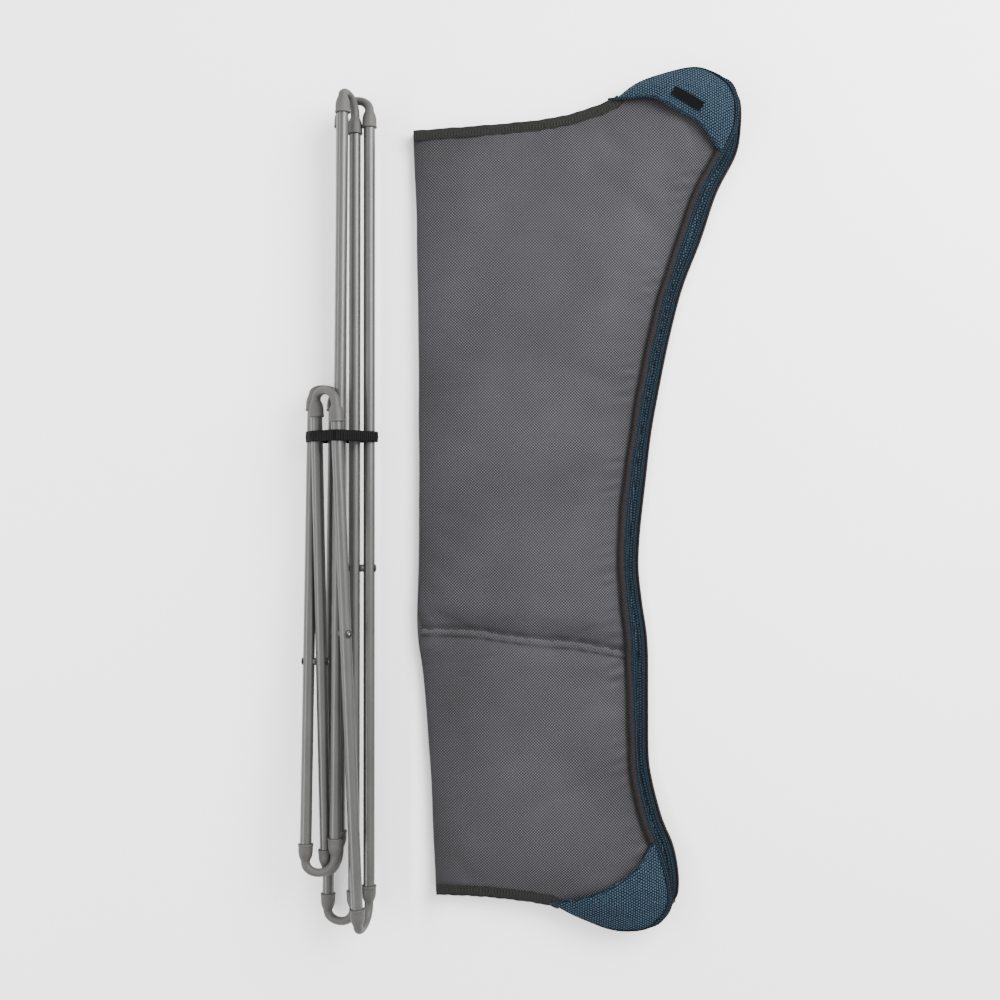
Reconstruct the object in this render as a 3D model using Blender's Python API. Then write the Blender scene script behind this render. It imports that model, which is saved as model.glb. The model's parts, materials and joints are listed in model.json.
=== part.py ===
"""Folding camp chair taken apart for storage, lying flat on the ground.

On the left lies the steel frame, folded into a bundle of eight tubes. The tubes cross in
four scissor pairs (front, back, left side, right side) that turn on rivets, and eight
flexible U-shaped corner connectors join their ends. On the right lies the seat cover,
taken off the frame and folded in half along its centre line, underside outward: the far
half lies on the ground and the near half lies on top of it.

+Y runs along the folded tubes towards the top of the chair, +Z is up from the ground.
In the folded bundle the chair's front faces -X and its left side faces +Z.
"""

import math

import bmesh
import bpy
import numpy as np
from mathutils import Matrix, Vector
from mathutils.bvhtree import BVHTree

# ---------------------------------------------------------------- driving dimensions (m)
# The layout is drawn about a working centre; this moves its box to the part's origin.
LAYOUT_CENTRE = (0.03367, 0.0014)
GAP = 0.0003  # clearance between pieces that touch

TUBE_RADIUS = 0.008
TUBE_WALL = 0.0012
TUBE_SIDES = 12
TUBE_INSERTION = 0.0175  # length of tube inside each socket

# Socket-mouth to socket-mouth centre-line of each tube: top end, bottom end.
TUBES = {
    "back_tube_outer": ((-0.1800, 0.5130, 0.0400), (-0.1810, -0.5320, 0.0365)),
    "back_tube_inner": ((-0.2000, 0.5050, 0.0370), (-0.2015, -0.5385, 0.0395)),
    "left_tube_long": ((-0.2140, 0.5265, 0.0640), (-0.2235, -0.4590, 0.0665)),
    "left_tube_short": ((-0.2195, 0.1055, 0.0850), (-0.1925, -0.5510, 0.0800)),
    "right_tube_long": ((-0.2195, 0.5165, 0.0300), (-0.2230, -0.4590, 0.0265)),
    "right_tube_short": ((-0.2325, 0.1245, 0.0102), (-0.2400, -0.5490, 0.0165)),
    "front_tube_outer": ((-0.2590, 0.1235, 0.0310), (-0.2645, -0.4680, 0.0615)),
    "front_tube_inner": ((-0.2510, 0.1135, 0.0532), (-0.2385, -0.4775, 0.0533)),
}
TOP, BOTTOM = 0, 1

# Scissor rivets: the two tubes, from the first to the second, and the height of the rivet.
RIVETS = {
    "front": ("front_tube_outer", "front_tube_inner", -0.2210),
    "back": ("back_tube_inner", "back_tube_outer", -0.0940),
    "left": ("left_tube_long", "left_tube_short", -0.1800),
    "right": ("right_tube_long", "right_tube_short", -0.1990),
}
PIN_RADIUS = 0.0025
PIN_CLEARANCE = 0.0003
HEAD_RADIUS = 0.0055
HEAD_HEIGHT = 0.0022
SPACER_RADIUS = 0.0050

# Corner connectors: tube that carries the first socket, tube that carries the second,
# the end that they join, and how far the bend's outer face stands from the centre line.
CORNERS = {
    "back_top_left": ("back_tube_inner", "left_tube_long", TOP, 0.5615),
    "back_top_right": ("back_tube_outer", "right_tube_long", TOP, 0.5590),
    "front_top_left": ("left_tube_short", "front_tube_inner", TOP, 0.1550),
    "front_top_right": ("right_tube_short", "front_tube_outer", TOP, 0.1605),
    "front_bottom_left": ("left_tube_long", "front_tube_outer", BOTTOM, -0.5125),
    "front_bottom_right": ("right_tube_long", "front_tube_inner", BOTTOM, -0.5155),
    "back_bottom_left": ("back_tube_outer", "left_tube_short", BOTTOM, -0.5885),
    "back_bottom_right": ("back_tube_inner", "right_tube_short", BOTTOM, -0.5905),
}
# The bends that pass under another connector's are bowed towards the ground.
BOWS = {
    "back_top_right": (0.0, 0.0, -0.007),
}
SOCKET_RADIUS = 0.0097
SOCKET_LENGTH = 0.018
SHOULDER_LENGTH = 0.005
BEND_RADIUS = 0.0058
BEND_RINGS = 4

# A point on each piece's joint axis, where its parent empty sits.
HINGE_POINTS = {
    "frame_base": (-0.3607, -0.5890, 0.0197),
    "cover_near": (-0.1184, 0.0300, 0.0105),
    "back_top_left": (-0.2015, 0.5421, 0.0504),
    "back_top_right": (-0.2024, 0.5477, 0.0281),
    "front_top_left": (-0.2376, 0.1380, 0.0674),
    "front_top_right": (-0.2552, 0.1360, 0.0186),
    "front_bottom_left": (-0.2430, -0.4947, 0.0653),
    "front_bottom_right": (-0.2215, -0.5086, 0.0408),
    "back_bottom_left": (-0.1896, -0.5755, 0.0555),
    "back_bottom_right": (-0.2189, -0.5642, 0.0311),
}

# Storage strap round the bundle, just below the front top corners.
STRAP_CENTRE_Y = 0.0870
STRAP_WIDTH = 0.0150
STRAP_THICKNESS = 0.0012
STRAP_SLACK = 0.0005
STRAP_POINTS = 44
STRAP_TAB_START, STRAP_TAB_END = math.radians(-24), math.radians(84)

# Seat cover: layers of one half, measured up from the ground.
UNDERSIDE_THICKNESS = 0.0015
PADDING_THICKNESS = 0.0060
MESH_THICKNESS = 0.0020
FOLD_PLANE_Z = 0.0105  # height of the fold between the two halves
FOLD_CLEARANCE = 0.0004
EDGE_WIDTH = 0.0030  # bindings and hems stand this far out from the layers
POCKET_SKIN = 0.0012
# The pockets of the far half lift its panel off the ground on a ramp that starts softly.
POCKET_RAMP_LENGTH = 0.150
POCKET_RAMP_SOFT_START = 0.060
POCKET_RAMP_SLOPE = 0.075
POCKET_MOUTH_HEIGHT = 0.0150
POCKET_SEAT = 0.0010  # a pocket's skin stands this far off its panel at the rim
ROWS, COLUMNS = 16, 8
# Rows are closer together near both ends, and columns near the outer side.
ROW_FRACTIONS = [0.35 * r / ROWS + 0.325 * (1 - math.cos(math.pi * r / ROWS))
                 for r in range(ROWS + 1)]
COLUMN_FRACTIONS = [1 - (1 - c / COLUMNS) ** 1.5 for c in range(COLUMNS + 1)]

FOLD_EDGE = ((-0.121, 0.513), (-0.116, 0.376), (-0.113, 0.139), (-0.113, -0.084),
             (-0.1155, -0.178), (-0.106, -0.251), (-0.096, -0.390), (-0.089, -0.548))
TOP_EDGE = ((-0.121, 0.513), (0.028, 0.525), (0.097, 0.536), (0.156, 0.557), (0.183, 0.577),
            (0.211, 0.590), (0.263, 0.604), (0.292, 0.600), (0.324, 0.578))
BOTTOM_EDGE = ((-0.089, -0.548), (-0.014, -0.552), (0.067, -0.563), (0.097, -0.577),
               (0.125, -0.589), (0.153, -0.599), (0.181, -0.602), (0.211, -0.596),
               (0.237, -0.567))
NEAR_SIDE_EDGE = ((0.324, 0.578), (0.329, 0.549), (0.326, 0.520), (0.312, 0.491),
                  (0.281, 0.435), (0.251, 0.353), (0.225, 0.270), (0.202, 0.166),
                  (0.189, 0.083), (0.177, 0.000), (0.173, -0.083), (0.176, -0.139),
                  (0.183, -0.208), (0.187, -0.340), (0.191, -0.388), (0.201, -0.437),
                  (0.215, -0.478), (0.231, -0.527), (0.237, -0.567))
FAR_SIDE_EDGE = ((0.331, 0.582), (0.3375, 0.556), (0.3375, 0.530), (0.331, 0.488),
                 (0.304, 0.433), (0.280, 0.363), (0.251, 0.286), (0.230, 0.195),
                 (0.212, 0.098), (0.200, 0.000), (0.193, -0.084), (0.198, -0.140),
                 (0.206, -0.209), (0.207, -0.342), (0.212, -0.391), (0.226, -0.447),
                 (0.243, -0.488), (0.250, -0.535), (0.246, -0.573))
BACK_POCKET_MOUTH = ((0.160, 0.551), (0.198, 0.553), (0.216, 0.549), (0.235, 0.538),
                     (0.271, 0.520), (0.286, 0.507), (0.304, 0.489))
FRONT_POCKET_MOUTH = ((0.077, -0.559), (0.110, -0.549), (0.138, -0.538), (0.165, -0.524),
                      (0.190, -0.503), (0.203, -0.484))
POCKET_INSET = 0.0045  # the skin's rim lies this far inside the panel's outline
POCKET_COLUMNS, POCKET_ROWS = 10, 4
TAG_CENTRE = (0.2570, 0.5500)
TAG_SIZE = (0.048, 0.014)
TAG_TILT = math.radians(-30)
TAG_THICKNESS = 0.0006
TAG_SEAT = 0.0010
TAG_CELLS = 4

# ---------------------------------------------------------------------------- materials
COLOURS = {
    "tube_steel": ((0.22, 0.22, 0.21), 0.35, 0.9),
    "connector_plastic": ((0.24, 0.23, 0.21), 0.65, 0.0),
    "rivet_steel": ((0.03, 0.03, 0.03), 0.40, 0.8),
    "spacer_nylon": ((0.04, 0.04, 0.04), 0.55, 0.0),
    "strap_webbing": ((0.02, 0.02, 0.02), 0.80, 0.0),
    "underside_fabric": ((0.10, 0.10, 0.11), 0.90, 0.0),
    "padding_foam": ((0.20, 0.20, 0.21), 0.95, 0.0),
    "mesh_fabric": ((0.03, 0.07, 0.12), 0.85, 0.0),
    "binding_tape": ((0.09, 0.08, 0.08), 0.80, 0.0),
    "tag_fabric": ((0.01, 0.01, 0.01), 0.70, 0.0),
}


def material(name):
    """The Principled material of that name, made once."""
    found = bpy.data.materials.get(name)
    if found:
        return found
    colour, roughness, metallic = COLOURS[name]
    made = bpy.data.materials.new(name)
    made.use_nodes = True
    shader = made.node_tree.nodes["Principled BSDF"]
    shader.inputs["Base Color"].default_value = (*colour, 1.0)
    shader.inputs["Roughness"].default_value = roughness
    shader.inputs["Metallic"].default_value = metallic
    made.diffuse_color = (*colour, 1.0)
    return made


# ------------------------------------------------------------------------- mesh helpers
def add_object(name, vertices, faces, slot, pivot, smooth=True):
    """An object of one closed mesh, drawn in layout coordinates and hung on its pivot."""
    mesh = bpy.data.meshes.new(name)
    mesh.from_pydata([tuple(v) for v in vertices], [], faces)
    work = bmesh.new()
    work.from_mesh(mesh)
    bmesh.ops.recalc_face_normals(work, faces=work.faces)
    work.to_mesh(mesh)
    work.free()
    if smooth:
        mesh.shade_smooth()
        mesh.set_sharp_from_angle(angle=math.radians(40))
    obj = bpy.data.objects.new(name, mesh)
    obj.data.materials.append(material(slot))
    bpy.context.scene.collection.objects.link(obj)
    obj.parent = pivot
    obj.location = -pivot.location
    return obj


def ring(centre, along, across, radius, sides):
    """Points of a circle about `along`, the first one towards `across`."""
    side = along.cross(across).normalized()
    front = side.cross(along).normalized()
    step = 2 * math.pi / sides
    return [centre + radius * (math.cos(i * step) * front + math.sin(i * step) * side)
            for i in range(sides)]


def bridge(rings, closed_ends=True, loop=False):
    """Faces between equal rings in a row, with capped ends, or joined into a loop."""
    sides = len(rings[0])
    last = len(rings) if loop else len(rings) - 1
    faces = []
    for r in range(last):
        a, b = r * sides, ((r + 1) % len(rings)) * sides
        for i in range(sides):
            j = (i + 1) % sides
            faces.append((a + i, a + j, b + j, b + i))
    if closed_ends and not loop:
        faces.append(tuple(reversed(range(sides))))
        faces.append(tuple(range((len(rings) - 1) * sides, len(rings) * sides)))
    return faces


def swept(name, rings, slot, pivot, loop=False):
    vertices = [point for one in rings for point in one]
    return add_object(name, vertices, bridge(rings, loop=loop), slot, pivot)


def spline(points, fractions):
    """Points at fractions of the length of a smooth curve through the given points."""
    pts = [Vector(p).to_3d() for p in points]
    pts = [2 * pts[0] - pts[1], *pts, 2 * pts[-1] - pts[-2]]
    dense = []
    for a, b, c, d in zip(pts, pts[1:], pts[2:], pts[3:]):
        for step in range(12):
            t = step / 12
            dense.append(0.5 * ((2 * b) + (c - a) * t + (2 * a - 5 * b + 4 * c - d) * t ** 2
                                + (3 * b - a - 3 * c + d) * t ** 3))
    dense.append(pts[-2])
    lengths = np.cumsum([0.0] + [(q - p).length for p, q in zip(dense, dense[1:])])
    wanted = np.array(fractions) * lengths[-1]
    columns = [np.interp(wanted, lengths, [p[axis] for p in dense]) for axis in range(2)]
    return np.array(columns).T


# -------------------------------------------------------------------------------- frame
def tube_line(name):
    top, bottom = (Vector(p) for p in TUBES[name])
    return top, bottom, (top - bottom).normalized()


def point_at_height(name, y):
    _, bottom, along = tube_line(name)
    return bottom + along * ((y - bottom.y) / along.y)


def rivet_axis(side):
    """Centre between the two crossing tubes, direction from first to second, spacing."""
    first, second, y = RIVETS[side]
    a, b = point_at_height(first, y), point_at_height(second, y)
    along = (tube_line(first)[2] + tube_line(second)[2]).normalized()
    across = (b - a) - along * (b - a).dot(along)
    return (a + b) / 2, across.normalized(), across.length


def rivet_of(tube):
    return next(side for side, pair in RIVETS.items() if tube in pair[:2])


def make_tube(name, pivot):
    """A steel tube, open at both ends."""
    top, bottom, along = tube_line(name)
    top, bottom = top + along * TUBE_INSERTION, bottom - along * TUBE_INSERTION
    across = rivet_axis(rivet_of(name))[1]
    rings = [ring(end, along, across, radius, TUBE_SIDES)
             for end, radius in ((bottom, TUBE_RADIUS), (top, TUBE_RADIUS),
                                 (top, TUBE_RADIUS - TUBE_WALL),
                                 (bottom, TUBE_RADIUS - TUBE_WALL))]
    return swept(name, rings, "tube_steel", pivot, loop=True)


def lathe(name, centre, axis, profile, slot, pivot, sides=12, loop=False):
    """Turns (distance along the axis, radius) points round the axis."""
    across = axis.cross(Vector((0, 1, 0))).normalized()
    rings = [ring(centre + axis * along, axis, across, radius, sides)
             for along, radius in profile]
    return swept(name, rings, slot, pivot, loop=loop)


def drill_rivet_hole(side, tubes):
    centre, axis, spacing = rivet_axis(side)
    reach = spacing / 2 + 2 * TUBE_RADIUS
    radius = PIN_RADIUS + PIN_CLEARANCE
    cutter = lathe(f"rivet_hole_{side}", centre, axis, ((-reach, radius), (reach, radius)),
                   "rivet_steel", tubes[0].parent)
    cutter.hide_render = True
    cutter.display_type = "WIRE"
    for tube in tubes:
        cut = tube.modifiers.new("rivet_hole", "BOOLEAN")
        cut.operation = "DIFFERENCE"
        cut.solver = "EXACT"
        cut.object = cutter


def make_rivet(side, pivot):
    """A pin through both tubes with a domed head at each end."""
    centre, axis, spacing = rivet_axis(side)
    seat = spacing / 2 + TUBE_RADIUS + GAP
    half = ((seat, PIN_RADIUS), (seat, HEAD_RADIUS), (seat + 0.4 * HEAD_HEIGHT, HEAD_RADIUS),
            (seat + 0.8 * HEAD_HEIGHT, 0.75 * HEAD_RADIUS),
            (seat + HEAD_HEIGHT, 0.35 * HEAD_RADIUS))
    profile = [(-along, radius) for along, radius in reversed(half)] + list(half)
    return lathe(f"rivet_{side}", centre, axis, profile, "rivet_steel", pivot)


def make_spacer(side, pivot):
    centre, axis, spacing = rivet_axis(side)
    half = spacing / 2 - TUBE_RADIUS - GAP
    bore = PIN_RADIUS + PIN_CLEARANCE
    profile = ((-half, bore), (-half, SPACER_RADIUS), (half, SPACER_RADIUS), (half, bore))
    return lathe(f"spacer_{side}", centre, axis, profile, "spacer_nylon", pivot, loop=True)


def connector_path(corner):
    """Mouth, outward direction and socket end of both sockets, and the bend's controls."""
    first, second, end, tip_y = CORNERS[corner]
    outward = 1 if end == TOP else -1
    mouths, directions, ends = [], [], []
    for tube in (first, second):
        mouths.append(tube_line(tube)[end])
        directions.append(tube_line(tube)[2] * outward)
        ends.append(mouths[-1] + directions[-1] * (SOCKET_LENGTH + SHOULDER_LENGTH))
    levels = [outward * point.y for point in ends]
    crown = outward * tip_y - BEND_RADIUS
    higher, lower = max(levels), min(levels)
    # Height of the controls that brings the bend's crown to its place.
    control = higher + (crown - higher + 0.07 * (higher - lower)) / 0.74
    bow = Vector(BOWS.get(corner, (0.0, 0.0, 0.0)))
    controls = [point + way * (control - level) + bow
                for point, way, level in zip(ends, directions, levels)]
    return mouths, directions, ends, controls


def bezier(p, q, r, s, t):
    u = 1 - t
    return u ** 3 * p + 3 * u ** 2 * t * q + 3 * u * t ** 2 * r + t ** 3 * s


def make_connector_half(corner, which, name, pivot):
    """One socket of a corner connector and its half of the bend."""
    mouths, directions, ends, controls = connector_path(corner)
    tube = CORNERS[corner][which]
    outward, mouth = directions[which], mouths[which]
    across = rivet_axis(rivet_of(tube))[1]
    if tube_line(tube)[2].dot(outward) < 0:
        along, mirror = outward, True
    else:
        along, mirror = outward, False
    bore = TUBE_RADIUS + GAP
    depth = TUBE_INSERTION + GAP
    rings = [ring(mouth + outward * depth, along, across, bore, TUBE_SIDES),
             ring(mouth, along, across, bore, TUBE_SIDES),
             ring(mouth, along, across, SOCKET_RADIUS, TUBE_SIDES),
             ring(mouth + outward * SOCKET_LENGTH, along, across, SOCKET_RADIUS, TUBE_SIDES)]
    points = [ends[which], controls[which], controls[1 - which], ends[1 - which]]
    middle = bezier(*points, 0.5)
    halfway = (bezier(*points, 0.51) - bezier(*points, 0.49)).normalized()
    for step in range(BEND_RINGS + 1):
        t = 0.5 * step / BEND_RINGS
        centre = bezier(*points, t)
        way = (bezier(*points, t + 0.01) - bezier(*points, max(t - 0.01, 0.0))).normalized()
        if step == BEND_RINGS:
            centre, way = middle - halfway * GAP / 2, halfway
        rings.append(ring(centre, way, across, BEND_RADIUS, TUBE_SIDES))
    return swept(name, rings, "connector_plastic", pivot)


def strap_point(direction, offset):
    """Where a band round the bundle touches it in that direction, in the XZ plane."""
    x, z = math.cos(direction), math.sin(direction)
    centres = [point_at_height(tube, STRAP_CENTRE_Y) for tube in TUBES]
    touched = max(centres, key=lambda c: c.x * x + c.z * z)
    reach = TUBE_RADIUS + offset
    return Vector((touched.x + reach * x, 0, touched.z + reach * z))


def make_band(name, directions, inner, outer, pivot, loop):
    rings = []
    for direction in directions:
        low, high = strap_point(direction, inner), strap_point(direction, outer)
        half = Vector((0, STRAP_WIDTH / 2, 0))
        centre = Vector((0, STRAP_CENTRE_Y, 0))
        rings.append([centre + low - half, centre + high - half,
                      centre + high + half, centre + low + half])
    return swept(name, rings, "strap_webbing", pivot, loop=loop)


def make_strap(pivot):
    step = 2 * math.pi / STRAP_POINTS
    turn = [i * step for i in range(STRAP_POINTS)]
    outer = STRAP_SLACK + STRAP_THICKNESS
    make_band("strap", turn, STRAP_SLACK, outer, pivot, True)
    lap = [i * step for i in range(math.ceil(STRAP_TAB_START / step),
                                   math.floor(STRAP_TAB_END / step) + 1)]
    make_band("strap_end", lap, outer + GAP, outer + GAP + STRAP_THICKNESS, pivot, False)


# Bodies of the frame: the hinge that carries each tube, and each second socket.
TUBE_PIVOTS = {
    "back_tube_inner": "frame_base",
    "back_tube_outer": "rivet:back",
    "left_tube_long": "back_top_left",
    "left_tube_short": "rivet:left",
    "right_tube_long": "back_top_right",
    "right_tube_short": "rivet:right",
    "front_tube_outer": "front_top_right",
    "front_tube_inner": "rivet:front",
}
# Corners where the closed linkage stays open: the second socket has its own hinge.
OPEN_CORNERS = ("front_top_left", "front_bottom_left", "front_bottom_right",
                "back_bottom_left", "back_bottom_right")


def make_frame(pivots):
    tubes = {name: make_tube(name, pivots[TUBE_PIVOTS[name]]) for name in TUBES}
    for side, (first, second, _) in RIVETS.items():
        drill_rivet_hole(side, [tubes[first], tubes[second]])
        make_rivet(side, pivots[TUBE_PIVOTS[first]])
        make_spacer(side, pivots[TUBE_PIVOTS[first]])
    for corner, (first, second, _, _) in CORNERS.items():
        make_connector_half(corner, 0, f"connector_{corner}_a", pivots[TUBE_PIVOTS[first]])
        second_pivot = corner if corner in OPEN_CORNERS else TUBE_PIVOTS[second]
        make_connector_half(corner, 1, f"connector_{corner}_b", pivots[second_pivot])
    make_strap(pivots["frame_base"])


# -------------------------------------------------------------------------------- cover
def raise_height(x, y):
    """How far the layers are lifted off the ground by the far half's corner pockets."""
    height = 0.0
    for mouth in (BACK_POCKET_MOUTH, FRONT_POCKET_MOUTH):
        start, end = Vector(mouth[0]), Vector(mouth[-1])
        inward = (end - start).normalized()
        sign = 1 if mouth is BACK_POCKET_MOUTH else -1
        towards_corner = Vector((-inward.y, inward.x)) * sign
        distance = (Vector((x, y)) - start).dot(towards_corner)
        run = max(distance + POCKET_RAMP_LENGTH, 0.0)
        if run < POCKET_RAMP_SOFT_START:
            rise = run * run / (2 * POCKET_RAMP_SOFT_START)
        else:
            rise = run - POCKET_RAMP_SOFT_START / 2
        height = max(height, POCKET_RAMP_SLOPE * rise)
    return height


def coons_grid(left, right, top, bottom):
    """Points of a four-sided patch, [row][column], between its four edge curves."""
    left, right = spline(left, ROW_FRACTIONS), spline(right, ROW_FRACTIONS)
    top, bottom = spline(top, COLUMN_FRACTIONS), spline(bottom, COLUMN_FRACTIONS)
    grid = []
    for row, v in enumerate(ROW_FRACTIONS):
        line = []
        for column, u in enumerate(COLUMN_FRACTIONS):
            ruled = (1 - v) * top[column] + v * bottom[column]
            ruled = ruled + (1 - u) * left[row] + u * right[row]
            corners = ((1 - u) * (1 - v) * top[0] + u * (1 - v) * top[-1]
                       + (1 - u) * v * bottom[0] + u * v * bottom[-1])
            line.append(tuple(ruled - corners))
        grid.append(line)
    return grid


def slab(name, grid, low, high, slot, pivot):
    """A closed sheet over a grid of (x, y) points; low and high give its two heights."""
    rows, columns = len(grid), len(grid[0])
    flat = [point for line in grid for point in line]
    count = len(flat)
    vertices = ([Vector((x, y, low(x, y, i))) for i, (x, y) in enumerate(flat)]
                + [Vector((x, y, high(x, y, i))) for i, (x, y) in enumerate(flat)])
    faces = []
    for r in range(rows - 1):
        for c in range(columns - 1):
            a = r * columns + c
            b, d = a + 1, a + columns
            # One diagonal for every layer, so that layers on one grid stay parallel.
            for corners in ((a, b, d + 1), (a, d + 1, d)):
                faces += [corners, tuple(count + i for i in reversed(corners))]
    edge = ([c for c in range(columns)] + [r * columns + columns - 1 for r in range(1, rows)]
            + [(rows - 1) * columns + c for c in reversed(range(columns - 1))]
            + [r * columns for r in reversed(range(1, rows - 1))])
    for a, b in zip(edge, edge[1:] + edge[:1]):
        faces.append((a, b, count + b, count + a))
    return add_object(name, vertices, faces, slot, pivot)


def layer(name, grid, low, high, slot, pivot):
    return slab(name, grid, lambda x, y, i: low + raise_height(x, y),
                lambda x, y, i: high + raise_height(x, y), slot, pivot)


def edge_band(name, line, low, high, slot, pivot, trim_end=0.0):
    """A band along the outside of an edge that runs clockwise seen from above."""
    points = [Vector(p) for p in line]
    if trim_end:
        points[-1] += (points[-2] - points[-1]).normalized() * trim_end
    rings = []
    for i, point in enumerate(points):
        before, after = points[max(i - 1, 0)], points[min(i + 1, len(points) - 1)]
        along = (after - before).normalized()
        outward = Vector((-along.y, along.x))
        near, far = point + outward * GAP, point + outward * (GAP + EDGE_WIDTH)
        lift = raise_height(point.x, point.y)
        rings.append([Vector((near.x, near.y, low + lift)), Vector((far.x, far.y, low + lift)),
                      Vector((far.x, far.y, high + lift)),
                      Vector((near.x, near.y, high + lift))])
    return swept(name, rings, slot, pivot)


def pocket_grid(mouth, panel_grid):
    """Points between a pocket's mouth and the part of the panel's outline beyond it."""
    outline = (panel_grid[0] + [line[-1] for line in panel_grid[1:]]
               + list(reversed(panel_grid[-1][:-1])))
    if mouth is FRONT_POCKET_MOUTH:
        outline.reverse()
    outline = [Vector(p) for p in outline]
    nearest = [min(range(len(outline)), key=lambda i: (outline[i] - Vector(end)).length)
               for end in (mouth[0], mouth[-1])]
    run = outline[nearest[0]:nearest[1] + 1]
    rim = []
    for before, point, after in zip([run[0], *run], run, [*run[1:], run[-1]]):
        along = (after - before).normalized()
        inward = Vector((along.y, -along.x)) * (1 if mouth is BACK_POCKET_MOUTH else -1)
        rim.append(point + inward * POCKET_INSET)
    even = [i / POCKET_COLUMNS for i in range(POCKET_COLUMNS + 1)]
    mouth = spline(mouth, even)
    lengths = np.cumsum([0.0] + [(q - p).length for p, q in zip(rim, rim[1:])])
    rim = [np.interp(np.array(even) * lengths[-1], lengths, [p[axis] for p in rim])
           for axis in range(2)]
    rim = np.array(rim).T
    return [[tuple((1 - t / POCKET_ROWS) * mouth[s] + t / POCKET_ROWS * rim[s])
             for s in range(POCKET_COLUMNS + 1)] for t in range(POCKET_ROWS + 1)]


def pocket_shape(index):
    """(across, inward) of a pocket grid point: 0 to 1 along the mouth, 0 to 1 to the rim."""
    row, column = divmod(index, POCKET_COLUMNS + 1)
    return column / POCKET_COLUMNS, row / POCKET_ROWS


def panel_height(panel, x, y, from_above):
    """Height of a panel's upper or lower face over a point of the ground."""
    tree = BVHTree.FromPolygons([v.co for v in panel.data.vertices],
                                [p.vertices for p in panel.data.polygons])
    start, way = (1.0, -1.0) if from_above else (-1.0, 1.0)
    return tree.ray_cast(Vector((x, y, start)), Vector((0, 0, way)))[0].z


def make_near_pocket(name, mouth, grid, panel, pivot):
    """Pocket skin on the near half's underside, gaping at its mouth."""
    def low(x, y, index):
        across, inward = pocket_shape(index)
        gape = POCKET_MOUTH_HEIGHT * math.sin(math.pi * across) * (1 - inward ** 2)
        return panel_height(panel, x, y, True) + POCKET_SEAT + gape

    return slab(name, pocket_grid(mouth, grid), low,
                lambda x, y, i: low(x, y, i) + POCKET_SKIN, "mesh_fabric", pivot)


def make_far_pocket(name, mouth, grid, panel, pivot):
    """Pocket skin under the far half, flat on the ground and rising to the rim."""
    def low(x, y, index):
        across, inward = pocket_shape(index)
        edge = max(inward, abs(2 * across - 1)) ** 6
        room = panel_height(panel, x, y, False) - POCKET_SKIN - POCKET_SEAT
        return edge * max(room, 0.0)

    return slab(name, pocket_grid(mouth, grid), low,
                lambda x, y, i: low(x, y, i) + POCKET_SKIN, "mesh_fabric", pivot)


def make_tag(pocket, pivot):
    """A small blank fabric tag lying on the near back pocket."""
    turn = Matrix.Rotation(TAG_TILT, 2)
    lines = []
    for row in range(2):
        line = []
        for column in range(TAG_CELLS + 1):
            local = Vector(((column / TAG_CELLS - 0.5) * TAG_SIZE[0],
                            (row - 0.5) * TAG_SIZE[1]))
            spot = turn @ local + Vector(TAG_CENTRE)
            line.append((spot.x, spot.y))
        lines.append(line)

    def low(x, y, index):
        return panel_height(pocket, x, y, True) + TAG_SEAT

    slab("blank_tag", lines, low, lambda x, y, i: low(x, y, i) + TAG_THICKNESS,
         "tag_fabric", pivot)


def make_cover(pivots):
    near_grid = coons_grid(FOLD_EDGE, NEAR_SIDE_EDGE, TOP_EDGE, BOTTOM_EDGE)
    far_side = spline(FAR_SIDE_EDGE, ROW_FRACTIONS)
    far_grid = [line + [tuple(far_side[row])] for row, line in enumerate(near_grid)]

    # Heights of the far half's layers from the ground up, and the near half's from the
    # fold plane up, in the reverse order because its underside is uppermost.
    padding_low = UNDERSIDE_THICKNESS + GAP
    mesh_low = padding_low + PADDING_THICKNESS + GAP
    far_top = mesh_low + MESH_THICKNESS
    near_low = FOLD_PLANE_Z + FOLD_CLEARANCE
    near_padding = near_low + MESH_THICKNESS + GAP
    near_underside = near_padding + PADDING_THICKNESS + GAP
    near_top = near_underside + UNDERSIDE_THICKNESS

    far, near = pivots["cover_far"], pivots["cover_near"]
    under_far = layer("underside_panel_far", far_grid, 0.0, UNDERSIDE_THICKNESS,
                      "underside_fabric", far)
    layer("padding_far", far_grid, padding_low, padding_low + PADDING_THICKNESS,
          "padding_foam", far)
    layer("mesh_top_far", far_grid, mesh_low, far_top, "mesh_fabric", far)
    layer("mesh_top_near", near_grid, near_low, near_low + MESH_THICKNESS, "mesh_fabric", near)
    layer("padding_near", near_grid, near_padding, near_padding + PADDING_THICKNESS,
          "padding_foam", near)
    under_near = layer("underside_panel_near", near_grid, near_underside, near_top,
                       "underside_fabric", near)

    for half, grid, low, high, pivot in (("far", far_grid, GAP, far_top, far),
                                         ("near", near_grid, near_low, near_top, near)):
        edge_band(f"side_binding_{half}", [line[-1] for line in grid], low, high,
                  "binding_tape", pivot)
        edge_band(f"top_hem_{half}", grid[0], low, high, "binding_tape", pivot)
        edge_band(f"bottom_hem_{half}", list(reversed(grid[-1])), low, high,
                  "binding_tape", pivot)

    back, front = (BACK_POCKET_MOUTH, near_grid), (FRONT_POCKET_MOUTH, near_grid)
    pocket = make_near_pocket("back_pocket_near", *back, under_near, near)
    make_near_pocket("front_pocket_near", *front, under_near, near)
    make_far_pocket("back_pocket_far", *back, under_far, far)
    make_far_pocket("front_pocket_far", *front, under_far, far)
    make_tag(pocket, near)


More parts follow.
